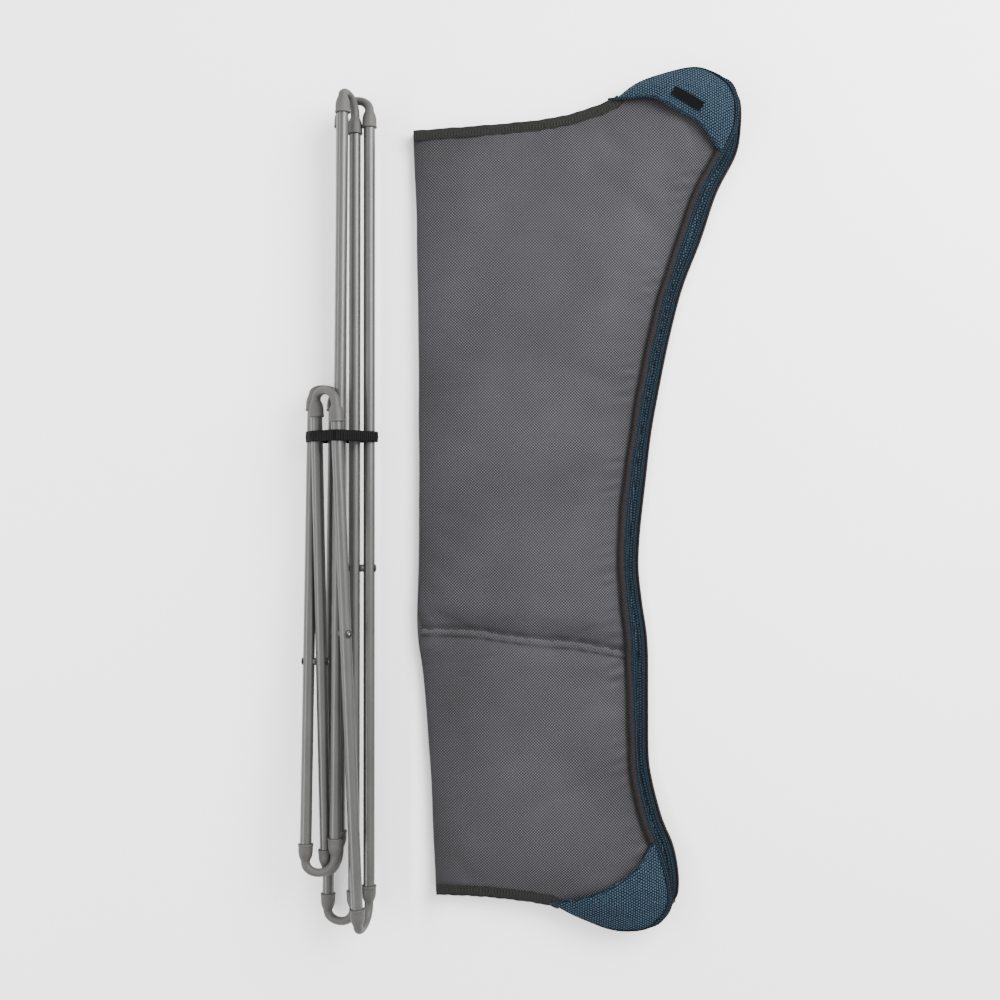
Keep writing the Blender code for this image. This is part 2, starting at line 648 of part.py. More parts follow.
# --------------------------------------------------------------------------------- main
def make_pivots():
    """One empty per moving body, on its joint's axis, all in the layout's frame."""
    layout = bpy.data.objects.new("layout", None)
    layout.location = (-LAYOUT_CENTRE[0], -LAYOUT_CENTRE[1], 0)
    bpy.context.scene.collection.objects.link(layout)
    spots = dict(HINGE_POINTS)
    spots["cover_far"] = (0.0, 0.0, 0.0)
    for side in RIVETS:
        spots[f"rivet:{side}"] = rivet_axis(side)[0]
    pivots = {}
    for name, spot in spots.items():
        empty = bpy.data.objects.new(f"pivot_{name.replace(':', '_')}", None)
        empty.location = Vector(spot)
        empty.parent = layout
        bpy.context.scene.collection.objects.link(empty)
        pivots[name] = empty
    return pivots


def main():
    for obj in list(bpy.data.objects):
        bpy.data.objects.remove(obj)
    pivots = make_pivots()
    make_frame(pivots)
    make_cover(pivots)
    bpy.context.view_layer.update()


main()
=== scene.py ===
"""Looks of the folding camp chair: the folded frame on the left, its folded cover on the right.

Every length is in metres in the CAD's frame. Outlines are drawn about the layout's working
centre, as in the CAD, and moved to the CAD's origin when a mesh is made.
"""

import json
import math

import bmesh
import bpy
import numpy as np
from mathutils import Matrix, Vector


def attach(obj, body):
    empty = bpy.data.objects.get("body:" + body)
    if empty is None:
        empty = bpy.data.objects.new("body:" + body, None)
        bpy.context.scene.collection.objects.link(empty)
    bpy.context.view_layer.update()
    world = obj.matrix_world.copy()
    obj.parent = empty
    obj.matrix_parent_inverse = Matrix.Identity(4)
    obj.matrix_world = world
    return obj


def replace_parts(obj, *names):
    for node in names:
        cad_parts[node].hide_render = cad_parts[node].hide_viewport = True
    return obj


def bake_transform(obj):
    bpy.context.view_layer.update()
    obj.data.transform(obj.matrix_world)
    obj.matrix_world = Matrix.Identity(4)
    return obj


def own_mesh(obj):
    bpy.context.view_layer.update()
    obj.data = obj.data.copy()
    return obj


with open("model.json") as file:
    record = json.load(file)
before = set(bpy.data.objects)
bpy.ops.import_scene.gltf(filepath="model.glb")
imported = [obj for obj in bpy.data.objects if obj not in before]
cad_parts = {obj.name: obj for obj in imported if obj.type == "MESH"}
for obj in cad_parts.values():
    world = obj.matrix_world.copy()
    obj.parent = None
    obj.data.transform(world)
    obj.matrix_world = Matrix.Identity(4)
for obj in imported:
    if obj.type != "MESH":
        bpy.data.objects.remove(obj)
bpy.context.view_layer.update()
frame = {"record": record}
CENTRE = np.array((0.03367, 0.0014, 0.0))

# ---- outlines of the cover
FOLD_EDGE = ((-0.121, 0.513), (-0.116, 0.376), (-0.113, 0.139), (-0.113, -0.084),
             (-0.1155, -0.178), (-0.106, -0.251), (-0.096, -0.390), (-0.089, -0.548))
TOP_EDGE = ((-0.121, 0.513), (0.028, 0.525), (0.097, 0.536), (0.156, 0.557), (0.183, 0.577),
            (0.211, 0.590), (0.263, 0.604), (0.292, 0.600), (0.324, 0.578))
BOTTOM_EDGE = ((-0.089, -0.548), (-0.014, -0.552), (0.067, -0.563), (0.097, -0.577),
               (0.125, -0.589), (0.153, -0.599), (0.181, -0.602), (0.211, -0.596),
               (0.237, -0.567))
NEAR_SIDE_EDGE = ((0.324, 0.578), (0.329, 0.549), (0.326, 0.520), (0.312, 0.491),
                  (0.281, 0.435), (0.251, 0.353), (0.225, 0.270), (0.202, 0.166),
                  (0.189, 0.083), (0.177, 0.000), (0.173, -0.083), (0.176, -0.139),
                  (0.183, -0.208), (0.187, -0.340), (0.191, -0.388), (0.201, -0.437),
                  (0.215, -0.478), (0.231, -0.527), (0.237, -0.567))
FAR_SIDE_EDGE = ((0.331, 0.582), (0.3375, 0.556), (0.3375, 0.530), (0.331, 0.488),
                 (0.304, 0.433), (0.280, 0.363), (0.251, 0.286), (0.230, 0.195),
                 (0.212, 0.098), (0.200, 0.000), (0.193, -0.084), (0.198, -0.140),
                 (0.206, -0.209), (0.207, -0.342), (0.212, -0.391), (0.226, -0.447),
                 (0.243, -0.488), (0.250, -0.535), (0.246, -0.573))
BACK_MOUTH = ((0.150, 0.556), (0.174, 0.5555), (0.198, 0.556), (0.216, 0.552), (0.235, 0.540),
              (0.271, 0.522), (0.286, 0.507), (0.306, 0.484))
FRONT_MOUTH = ((0.069, -0.561), (0.090, -0.554), (0.110, -0.549), (0.138, -0.538),
               (0.165, -0.524), (0.193, -0.503), (0.213, -0.476))
SEAM = ((-0.118, -0.183), (-0.042, -0.184), (0.0, -0.190), (0.055, -0.197), (0.111, -0.202),
        (0.185, -0.217))
TOP_HEM_END, BOTTOM_HEM_END = (0.166, 0.563), (0.082, -0.570)
RAMP_LENGTH, RAMP_SOFT, RAMP_SLOPE = 0.150, 0.060, 0.075
RAISE_LINES = (((0.160, 0.551), (0.304, 0.489), 1), ((0.077, -0.559), (0.203, -0.484), -1))
FOLD_Z = 0.0105
CAMERA_HEIGHT = 1.8
VIEW_HEIGHT = 1.784     # the camera's height above the plane where the outlines were read


def smooth(t):
    t = np.clip(t, 0, 1)
    return t * t * (3 - 2 * t)


def bell(value, centre, width):
    """1 where the value is at the centre, falling to nothing over a few widths."""
    return np.exp(-((value - centre) / width) ** 2)


def spline(points, fractions):
    """Points at fractions of the length of a smooth curve through the given points."""
    pts = np.array(points, float)
    pts = np.vstack([2 * pts[0] - pts[1], pts, 2 * pts[-1] - pts[-2]])
    t = np.linspace(0, 1, 16, endpoint=False)[:, None]
    dense = [0.5 * (2 * b + (c - a) * t + (2 * a - 5 * b + 4 * c - d) * t**2
                    + (3 * b - a - 3 * c + d) * t**3)
             for a, b, c, d in zip(pts, pts[1:], pts[2:], pts[3:])]
    return at_fractions(np.vstack([*dense, pts[-2:-1]]), fractions)


def at_fractions(line, fractions):
    steps = np.linalg.norm(np.diff(line, axis=0), axis=1)
    lengths = np.concatenate([[0], np.cumsum(steps)])
    wanted = np.asarray(fractions) * lengths[-1]
    return np.column_stack([np.interp(wanted, lengths, column) for column in line.T])


def coons(left, right, top, bottom, us, vs):
    """(x, y) of a four-sided patch, [row, column], between its four edge curves."""
    left, right = spline(left, vs), spline(right, vs)
    top, bottom = spline(top, us), spline(bottom, us)
    u, v = us[None, :, None], vs[:, None, None]
    ruled = ((1 - v) * top[None] + v * bottom[None] + (1 - u) * left[:, None]
             + u * right[:, None])
    corners = ((1 - u) * (1 - v) * top[0] + u * (1 - v) * top[-1]
               + (1 - u) * v * bottom[0] + u * v * bottom[-1])
    return ruled - corners


def lift(x, y):
    """How far the layers are lifted off the ground by the far half's corner pockets."""
    height = np.zeros_like(x)
    for start, end, sign in RAISE_LINES:
        start, end = np.array(start), np.array(end)
        way = (end - start) / np.linalg.norm(end - start)
        towards = np.array((-way[1], way[0])) * sign
        distance = (x - start[0]) * towards[0] + (y - start[1]) * towards[1]
        run = np.maximum(distance + RAMP_LENGTH, 0)
        rise = np.where(run < RAMP_SOFT, run**2 / (2 * RAMP_SOFT), run - RAMP_SOFT / 2)
        height = np.maximum(height, RAMP_SLOPE * rise)
    return height


def drawn_in(flat):
    """Outline points moved in to where the lifted edge still shows at its own place."""
    up = lift(flat[..., 0], flat[..., 1])[..., None]
    return flat * (VIEW_HEIGHT - up) / VIEW_HEIGHT


def distance_to(line, x, y):
    """Shortest distance from each point to a polyline in the ground's plane."""
    best = np.full(np.shape(x), 9.0)
    for a, b in zip(line, line[1:]):
        d = b - a
        t = np.clip(((x - a[0]) * d[0] + (y - a[1]) * d[1]) / (d @ d), 0, 1)
        best = np.minimum(best, np.hypot(x - a[0] - t * d[0], y - a[1] - t * d[1]))
    return best


# ---- mesh helpers
def make(name, vertices, faces, material, uv=None):
    """An object from layout-frame vertices; uv holds one (u, v) in metres per vertex."""
    mesh = bpy.data.meshes.new(name)
    placed = np.asarray(vertices, float) - CENTRE
    mesh.from_pydata(placed.tolist(), [], faces)
    if uv is not None:
        layer = mesh.uv_layers.new(name="flat")
        corner = np.empty(len(mesh.loops), np.int32)
        mesh.loops.foreach_get("vertex_index", corner)
        layer.data.foreach_set("uv", np.asarray(uv, np.float32)[corner].ravel())
    work = bmesh.new()
    work.from_mesh(mesh)
    bmesh.ops.recalc_face_normals(work, faces=work.faces)
    work.to_mesh(mesh)
    work.free()
    mesh.shade_smooth()
    mesh.set_sharp_from_angle(angle=math.radians(50))
    obj = bpy.data.objects.new(name, mesh)
    obj.data.materials.append(material)
    bpy.context.scene.collection.objects.link(obj)
    return obj


def grid_faces(rows, columns, closed_rows=False, closed_columns=False, offset=0):
    """Quads of a grid of rows x columns vertices, closed round in either direction."""
    faces = []
    for r in range(rows if closed_rows else rows - 1):
        for c in range(columns if closed_columns else columns - 1):
            a, b = r * columns, ((r + 1) % rows) * columns
            d = (c + 1) % columns
            faces.append((offset + a + c, offset + a + d, offset + b + d, offset + b + c))
    return faces


def swept(name, rings, material, closed=False, uv=None):
    """A solid through rings of equal size, capped at its ends unless it's closed."""
    rings = np.asarray(rings)
    rows, sides = rings.shape[:2]
    faces = grid_faces(rows, sides, closed_rows=closed, closed_columns=True)
    if not closed:
        faces += [tuple(reversed(range(sides))), tuple(range((rows - 1) * sides, rows * sides))]
    if uv is None:
        along = np.concatenate([[0], np.cumsum(np.linalg.norm(
            np.diff(rings.mean(axis=1), axis=0), axis=1))])
        round_it = np.linalg.norm(np.diff(rings[0], axis=0), axis=1).sum()
        around = np.abs(np.linspace(-1, 1, sides)) * round_it / 2
        uv = np.stack(np.broadcast_arrays(around[None, :], along[:, None]), axis=-1)
    return make(name, rings.reshape(-1, 3), faces, material, np.reshape(uv, (-1, 2)))


def shell(name, top, bottom, material):
    """A closed sheet between two grids of points, [row, column, xyz]."""
    rows, columns = top.shape[:2]
    count = rows * columns
    faces = grid_faces(rows, columns) + [f[::-1] for f in grid_faces(rows, columns,
                                                                    offset=count)]
    edge = ([*range(columns)] + [r * columns + columns - 1 for r in range(1, rows)]
            + [(rows - 1) * columns + c for c in reversed(range(columns - 1))]
            + [r * columns for r in reversed(range(1, rows - 1))])
    faces += [(a, b, count + b, count + a) for a, b in zip(edge, edge[1:] + edge[:1])]
    vertices = np.vstack([top.reshape(-1, 3), bottom.reshape(-1, 3)])
    return make(name, vertices, faces, material, vertices[:, :2])


def ring(centre, along, across, radius, sides):
    """Points of a circle about `along`, starting from the side nearest `across`."""
    along = along / np.linalg.norm(along)
    side = np.cross(along, across)
    side /= np.linalg.norm(side)
    front = np.cross(side, along)
    angle = np.arange(sides) * 2 * math.pi / sides
    spokes = np.cos(angle)[:, None] * front + np.sin(angle)[:, None] * side
    return centre + radius * spokes


# ---- materials
class Shader:
    """A Principled material and short ways to add nodes to it."""

    def __init__(self, name, roughness=0.5, **sockets):
        self.material = bpy.data.materials.new(name)
        self.material.use_nodes = True
        self.tree = self.material.node_tree
        self.bsdf = self.tree.nodes["Principled BSDF"]
        self.bsdf.inputs["Roughness"].default_value = roughness
        for socket, value in sockets.items():
            self.bsdf.inputs[socket.replace("_", " ").title().replace("Ior", "IOR")
                             ].default_value = value

    def node(self, kind, inputs=(), **settings):
        made = self.tree.nodes.new(kind)
        for key, value in settings.items():
            setattr(made, key, value)
        for socket, value in dict(inputs).items():
            if isinstance(value, bpy.types.NodeSocket):
                self.tree.links.new(value, made.inputs[socket])
            else:
                made.inputs[socket].default_value = value
        return made

    def math(self, operation, a, b=0.0, c=0.0):
        return self.node("ShaderNodeMath", {0: a, 1: b, 2: c}, operation=operation).outputs[0]

    def uv(self):
        split = self.node("ShaderNodeSeparateXYZ", {
            0: self.node("ShaderNodeUVMap", uv_map="flat").outputs[0]})
        return split.outputs[0], split.outputs[1]

    def place(self):
        return self.node("ShaderNodeTexCoord").outputs["Object"]

    def noise(self, scale, detail=2.0, roughness=0.5):
        return self.node("ShaderNodeTexNoise", {
            "Vector": self.place(), "Scale": scale, "Detail": detail,
            "Roughness": roughness}).outputs[0]

    def ramp(self, value, stops):
        made = self.node("ShaderNodeValToRGB", {0: value})
        ramp = made.color_ramp
        for extra in stops[2:]:
            ramp.elements.new(extra[0])
        for element, (position, colour) in zip(ramp.elements, sorted(stops)):
            element.position = position
            element.color = (*colour, 1.0)
        return made.outputs[0]

    def spread(self, value, low, high, to_low=0.0, to_high=1.0):
        return self.node("ShaderNodeMapRange", {
            "Value": value, "From Min": low, "From Max": high, "To Min": to_low,
            "To Max": to_high}).outputs[0]

    def colour(self, value):
        self.tree.links.new(value, self.bsdf.inputs["Base Color"])

    def rough(self, value):
        self.tree.links.new(value, self.bsdf.inputs["Roughness"])

    def bump(self, height, distance):
        made = self.node("ShaderNodeBump", {"Height": height, "Distance": distance,
                                            "Strength": 1.0})
        self.tree.links.new(made.outputs[0], self.bsdf.inputs["Normal"])

    def wave(self, u, v, angle, period, phase=0.0):
        """Cosine across the given direction, from -1 to 1."""
        turn = 2 * math.pi / period
        a = self.math("MULTIPLY", u, math.cos(angle) * turn)
        total = self.math("MULTIPLY_ADD", v, math.sin(angle) * turn, a)
        return self.math("COSINE", self.math("ADD", total, phase))


def grey(value):
    return (value, value, value)


def woven(name, dark, light, period=0.0040, bump=0.0004):
    """Two-tone basket weave with the yarn's own unevenness, and painted shade from a per-vertex
    attribute.
    """
    s = Shader(name, roughness=0.8, sheen_weight=0.04, sheen_roughness=0.5,
               specular_ior_level=0.2)
    u, v = s.uv()
    drift = s.noise(9.0, 2.0)
    bend = s.math("MULTIPLY", drift, 5.0)
    a = s.wave(u, v, 0.0, period, bend)
    b = s.wave(u, v, math.radians(90), period, bend)
    dots = s.math("MULTIPLY_ADD", s.math("MULTIPLY", a, b), 0.5, 0.5)
    fine = s.math("MULTIPLY_ADD", s.wave(u, v, math.radians(45), period / 3), 0.5, 0.5)
    yarn = s.noise(900.0, 3.0, roughness=0.7)
    mixed = s.math("MULTIPLY_ADD", fine, 0.15, s.math("MULTIPLY", dots, 0.85))
    mixed = s.math("MULTIPLY_ADD", yarn, 0.50, s.math("SUBTRACT", mixed, 0.25))
    broad = s.math("MULTIPLY", s.math("SUBTRACT", drift, 0.5), 0.25)
    # Painted shade: a per-vertex amount stored on a piece, darkening the tone in creases, hollows
    # and along seams.
    painted_shade = s.node("ShaderNodeAttribute", attribute_name="painted_shade").outputs["Fac"]
    tone = s.math("SUBTRACT", s.math("ADD", mixed, broad), painted_shade)
    middle = tuple((p * 0.78 + q * 0.22) for p, q in zip(dark, light))
    s.colour(s.ramp(tone, [(0.10, dark), (0.95, light), (0.48, middle)]))
    s.bump(s.math("MULTIPLY_ADD", yarn, 0.4, dots), bump)
    return s.material


def spacer_mesh(name, hole, thread, period=0.0038, bump=0.0006):
    """Honeycomb spacer mesh: dark holes between lighter knitted threads."""
    s = Shader(name, roughness=0.9, specular_ior_level=0.08)
    u, v = s.uv()
    drift = s.math("MULTIPLY", s.noise(60.0, 3.0), 7.0)
    waves = [s.wave(u, v, math.radians(a), period * 0.866, drift) for a in (0, 60, 120)]
    total = s.math("ADD", s.math("ADD", waves[0], waves[1]), waves[2])
    cell = s.spread(total, -1.5, 3.0)
    yarn = s.noise(1300.0, 3.0, roughness=0.7)
    value = s.math("MULTIPLY_ADD", s.math("SUBTRACT", yarn, 0.5), 2.3, cell)
    middle = tuple(0.7 * p + 0.3 * q for p, q in zip(hole, thread))
    s.colour(s.ramp(value, [(0.0, thread), (0.50, hole), (0.24, middle)]))
    height = s.math("MULTIPLY_ADD", yarn, 0.25, s.math("SUBTRACT", 1.0, cell))
    s.bump(height, bump)
    return s.material


def tape(name, dark, light, period=0.0016, bump=0.0003):
    """Narrow woven tape with fine diagonal ribs."""
    s = Shader(name, roughness=0.9, specular_ior_level=0.06)
    u, v = s.uv()
    rib = s.wave(u, v, math.radians(50), period)
    cross = s.wave(u, v, math.radians(-40), period * 1.7)
    yarn = s.noise(1100.0, 3.0, roughness=0.7)
    value = s.math("MULTIPLY_ADD", rib, 0.10, s.math("MULTIPLY_ADD", cross, 0.06, yarn))
    s.colour(s.ramp(value, [(0.34, dark), (0.74, light)]))
    s.bump(s.math("MULTIPLY_ADD", rib, 0.5, yarn), bump)
    return s.material


def powder_coat():
    s = Shader("tube_powder_coat", roughness=0.34, specular_ior_level=0.5,
               coat_weight=0.12, coat_roughness=0.2)
    speck = s.noise(1400.0, 2.0, roughness=0.6)
    broad = s.noise(18.0, 3.0)
    value = s.math("MULTIPLY_ADD", speck, 0.55, s.math("MULTIPLY", broad, 0.45))
    s.colour(s.ramp(value, [(0.3, (0.020, 0.0198, 0.019)), (0.7, (0.040, 0.0395, 0.0378))]))
    s.rough(s.spread(speck, 0.3, 0.7, 0.27, 0.40))
    s.bump(speck, 0.00012)
    return s.material


def moulded_plastic():
    s = Shader("connector_moulded", roughness=0.6, specular_ior_level=0.4)
    grain = s.noise(1000.0, 3.0, roughness=0.65)
    broad = s.noise(26.0, 3.0)
    value = s.math("MULTIPLY_ADD", grain, 0.35, s.math("MULTIPLY", broad, 0.65))
    s.colour(s.ramp(value, [(0.32, (0.024, 0.0232, 0.0212)), (0.68, (0.046, 0.0442, 0.0410))]))
    s.rough(s.spread(broad, 0.3, 0.7, 0.52, 0.68))
    s.bump(grain, 0.00015)
    return s.material


def worn_black(name, tone, roughness, metallic=0.0):
    s = Shader(name, roughness=roughness, metallic=metallic)
    speck = s.noise(900.0, 2.0)
    s.colour(s.ramp(speck, [(0.3, grey(tone)), (0.75, grey(tone * 2.2))]))
    s.rough(s.spread(speck, 0.3, 0.7, roughness - 0.08, roughness + 0.12))
    s.bump(speck, 0.00008)
    return s.material


def webbing():
    s = Shader("strap_ribbed", roughness=0.9, specular_ior_level=0.05)
    u, v = s.uv()
    rib = s.wave(u, v, math.radians(90), 0.0036)
    cross = s.wave(u, v, 0.0, 0.0014)
    fluff = s.noise(1500.0, 4.0, roughness=0.75)
    value = s.math("MULTIPLY_ADD", rib, 0.25, s.math("MULTIPLY_ADD", cross, 0.08, fluff))
    s.colour(s.ramp(value, [(0.3, (0.0012, 0.0012, 0.0012)), (0.85, (0.011, 0.011, 0.0115))]))
    s.bump(s.math("MULTIPLY_ADD", rib, 0.6, fluff), 0.0004)
    return s.material


STEEL = powder_coat()
PLASTIC = moulded_plastic()
RIVET = worn_black("rivet_black", 0.012, 0.32, 0.6)
RIVET_CORE = worn_black("rivet_core_steel", 0.30, 0.28, 1.0)
NYLON = worn_black("spacer_black", 0.010, 0.5)
STRAP = webbing()
UNDERSIDE = woven("underside_weave", (0.0007, 0.0007, 0.001), (0.068, 0.066, 0.074))
# The seam band uses a lighter copy of the underside weave: a painted highlight where the raised
# seam catches the light.
WELT_PAINTED_HIGHLIGHT = woven("seam_weave_painted_highlight", (0.0015, 0.0015, 0.002), (0.086, 0.084, 0.092))
MESH = spacer_mesh("mesh_blue", (0.0004, 0.0012, 0.0025), (0.034, 0.062, 0.090))
# The side rolls use a darker copy of the blue mesh: painted shade for the same fabric at the
# cover's edges.
MESH_SHADED_SIDE = spacer_mesh("mesh_blue_side_painted_shade", (0.0004, 0.0012, 0.0025), (0.0150, 0.0290, 0.0420))
BINDING = tape("binding_grey_brown", (0.002, 0.0017, 0.0017), (0.030, 0.0255, 0.0265))
HEM = tape("hem_dark", (0.002, 0.002, 0.002), (0.026, 0.026, 0.025))
PIPING = tape("piping_grey", (0.006, 0.0055, 0.0065), (0.045, 0.043, 0.045))
TAG = tape("tag_black", (0.0006, 0.0006, 0.0006), (0.004, 0.004, 0.004))

# ---- frame
TUBES = {
    "back_tube_outer": ((-0.1800, 0.5130, 0.0400), (-0.1810, -0.5320, 0.0365)),
    "back_tube_inner": ((-0.2000, 0.5050, 0.0370), (-0.2015, -0.5385, 0.0395)),
    "left_tube_long": ((-0.2140, 0.5265, 0.0640), (-0.2235, -0.4590, 0.0665)),
    "left_tube_short": ((-0.2195, 0.1055, 0.0850), (-0.1925, -0.5510, 0.0800)),
    "right_tube_long": ((-0.2195, 0.5165, 0.0300), (-0.2230, -0.4590, 0.0265)),
    "right_tube_short": ((-0.2325, 0.1245, 0.0102), (-0.2400, -0.5490, 0.0165)),
    "front_tube_outer": ((-0.2590, 0.1235, 0.0310), (-0.2645, -0.4680, 0.0615)),
    "front_tube_inner": ((-0.2510, 0.1135, 0.0532), (-0.2385, -0.4775, 0.0533)),
}
BODY_OF = {node: body for body, nodes in frame["record"]["behaviour"]["bodies"].items()
           for node in nodes}
RIVETS = {
    "front": ("front_tube_outer", "front_tube_inner", -0.2210),
    "back": ("back_tube_inner", "back_tube_outer", -0.0940),
    "left": ("left_tube_long", "left_tube_short", -0.1800),
    "right": ("right_tube_long", "right_tube_short", -0.1990),
}
# First tube, second tube, 0 at the top and 1 at the bottom, outer face of the bend, bow.
CORNERS = {
    "back_top_left": ("back_tube_inner", "left_tube_long", 0, 0.5615, 0.0),
    "back_top_right": ("back_tube_outer", "right_tube_long", 0, 0.5590, -0.007),
    "front_top_left": ("left_tube_short", "front_tube_inner", 0, 0.1550, 0.0),
    "front_top_right": ("right_tube_short", "front_tube_outer", 0, 0.1605, 0.0),
    "front_bottom_left": ("left_tube_long", "front_tube_outer", 1, -0.5125, 0.0),
    "front_bottom_right": ("right_tube_long", "front_tube_inner", 1, -0.5155, 0.0),
    "back_bottom_left": ("back_tube_outer", "left_tube_short", 1, -0.5885, 0.0),
    "back_bottom_right": ("back_tube_inner", "right_tube_short", 1, -0.5905, 0.0),
}
TUBE_RADIUS, TUBE_WALL, INSERTION = 0.008, 0.0012, 0.0175
SOCKET_END, SOCKET_RIM, BEND_RADIUS = 0.023, 0.0108, 0.0060
ROUND = 32


def tube_line(name):
    top, bottom = (np.array(p) for p in TUBES[name])
    return top, bottom, (top - bottom) / np.linalg.norm(top - bottom)


def at_height(name, y):
    _, bottom, along = tube_line(name)
    return bottom + along * ((y - bottom[1]) / along[1])


def rivet_axis(side):
    first, second, y = RIVETS[side]
    a, b = at_height(first, y), at_height(second, y)
    along = tube_line(first)[2] + tube_line(second)[2]
    along /= np.linalg.norm(along)
    across = (b - a) - along * ((b - a) @ along)
    return (a + b) / 2, across / np.linalg.norm(across), np.linalg.norm(across)


def lathe(name, centre, axis, profile, material, body, closed=False):
    across = np.cross(axis, (0, 1, 0))
    rings = [ring(centre + axis * along, axis, across, radius, ROUND)
             for along, radius in profile]
    piece = swept(name, rings, material, closed=closed)
    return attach(piece, body)


def make_tubes():
    for name in TUBES:
        top, bottom, along = tube_line(name)
        top, bottom = top + along * INSERTION, bottom - along * INSERTION
        inner = TUBE_RADIUS - TUBE_WALL
        levels = np.linspace(0, 1, 12)
        outer = [(bottom + (top - bottom) * t, TUBE_RADIUS) for t in levels]
        rings = [ring(c, along, (0, 0, 1), r, ROUND)
                 for c, r in [(bottom, inner), *outer, (top, inner)]]
        piece = swept(name + "_round", rings, STEEL, closed=True)
        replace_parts(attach(piece, BODY_OF[name]), name)


def make_rivets():
    for side, (first, _, _) in RIVETS.items():
        centre, axis, gap = rivet_axis(side)
        body = BODY_OF[first]
        seat = gap / 2 + TUBE_RADIUS - 0.0004
        dome = [(seat, 0.0025), (seat, 0.0052), (seat + 0.0005, 0.0056),
                (seat + 0.0011, 0.0054), (seat + 0.0019, 0.0043), (seat + 0.0024, 0.0028),
                (seat + 0.0025, 0.0016), (seat + 0.0020, 0.0013)]
        profile = [(-a, r) for a, r in reversed(dome)] + dome
        head = lathe(f"rivet_{side}_domed", centre, axis, profile, RIVET, body)
        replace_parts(head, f"rivet_{side}")
        for sign, end in ((1, "a"), (-1, "b")):
            out = sign * axis
            core = [(seat + 0.0015, 0.0011), (seat + 0.0022, 0.0012), (seat + 0.00255, 0.0009),
                    (seat + 0.0027, 0.0003)]
            lathe(f"rivet_{side}_core_{end}", centre, out, core, RIVET_CORE, body)
        half = gap / 2 - TUBE_RADIUS + 0.0010
        rim = 0.0004
        ring_profile = [(-half, 0.0029), (-half, 0.0048), (-half + rim, 0.0052),
                        (half - rim, 0.0052), (half, 0.0048), (half, 0.0029)]
        washer = lathe(f"spacer_{side}_turned", centre, axis, ring_profile, NYLON, body,
                       closed=True)
        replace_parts(washer, f"spacer_{side}")


def connector_centreline(corner):
    """Mouths, outward ways, and points of the bend between the two socket ends."""
    first, second, end, tip, bow = CORNERS[corner]
    outward = 1 if end == 0 else -1
    mouths = [tube_line(t)[end] for t in (first, second)]
    ways = [tube_line(t)[2] * outward for t in (first, second)]
    ends = [m + w * SOCKET_END for m, w in zip(mouths, ways)]
    levels = [outward * p[1] for p in ends]
    crown, high, low = outward * tip - BEND_RADIUS, max(levels), min(levels)
    control = high + (crown - high + 0.07 * (high - low)) / 0.74
    shift = np.array((0.0, 0.0, bow))
    controls = [p + w * (control - level) + shift for p, w, level in zip(ends, ways, levels)]
    t = np.linspace(0, 1, 29)[:, None]
    bend = ((1 - t) ** 3 * ends[0] + 3 * (1 - t) ** 2 * t * controls[0]
            + 3 * (1 - t) * t**2 * controls[1] + t**3 * ends[1])
    return mouths, ways, bend


def socket_rings(mouth, way):
    """Centres and radii from inside the bore, round the flared lip and up the shoulder."""
    bore = TUBE_RADIUS + 0.0002
    steps = [(0.0178, bore), (0.0010, bore), (0.0001, bore + 0.0003), (-0.0003, 0.0094),
             (-0.0001, 0.0102), (0.0006, 0.0106), (0.0018, 0.0106), (0.0026, 0.0103),
             (0.0034, 0.0100), (0.0080, 0.0100), (0.0120, 0.0098), (0.0150, 0.0093),
             (0.0175, 0.0086), (0.0198, 0.0077), (0.0218, 0.0068)]
    return [(mouth + way * along, radius) for along, radius in steps]


def make_connectors():
    for corner in CORNERS:
        mouths, ways, bend = connector_centreline(corner)
        line = [(p, r, ways[0]) for p, r in socket_rings(mouths[0], ways[0])]
        for i, (point, tangent) in enumerate(zip(bend, np.gradient(bend, axis=0))):
            swell = 0.0003 * math.cos(2 * math.pi * i / (len(bend) - 1))
            line.append((point, BEND_RADIUS + swell, tangent))
        line += [(p, r, -ways[1]) for p, r in reversed(socket_rings(mouths[1], ways[1]))]
        apart = mouths[1] - mouths[0]
        normal = np.cross(ways[0], np.cross(np.cross(ways[0], apart), ways[0]))
        rings = []
        for point, radius, tangent in line:
            around = ring(point, tangent, np.cross(normal, tangent), radius, ROUND)
            around[:, 2] = np.maximum(around[:, 2], 0.0)
            rings.append(around)
        piece = swept(f"connector_{corner}", rings, PLASTIC)
        apart = apart - ways[0] * (apart @ ways[0])
        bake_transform(piece)
        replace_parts(piece, f"connector_{corner}_a", f"connector_{corner}_b")


STRAP_Y, STRAP_WIDTH, STRAP_GAP = 0.0870, 0.0150, 0.0005


def strap_line(angles, offset):
    """Points round the bundle, held off its tubes by the offset, in the strap's plane."""
    centres = np.array([at_height(t, STRAP_Y) for t in TUBES])
    points = []
    for angle in angles:
        way = np.array((math.cos(angle), 0.0, math.sin(angle)))
        points.append(centres[np.argmax(centres @ way)] + way * (TUBE_RADIUS + offset))
    points = np.array(points)
    points[:, 1] = 0.0
    return points


def strap_rings(points, tangents, centre, section, lifts=0.0):
    """Rings of webbing along points, standing outward from the bundle's centre."""
    outward = np.cross(tangents, (0.0, 1.0, 0.0))
    outward /= np.maximum(np.linalg.norm(outward, axis=1), 1e-9)[:, None]
    outward *= np.sign(((points - centre) * outward).sum(axis=1))[:, None]
    points = points + outward * np.reshape(lifts, (-1, 1))
    return [[point + out * height + np.array((0.0, STRAP_Y + y, 0.0))
             for y, height in section] for point, out in zip(points, outward)]


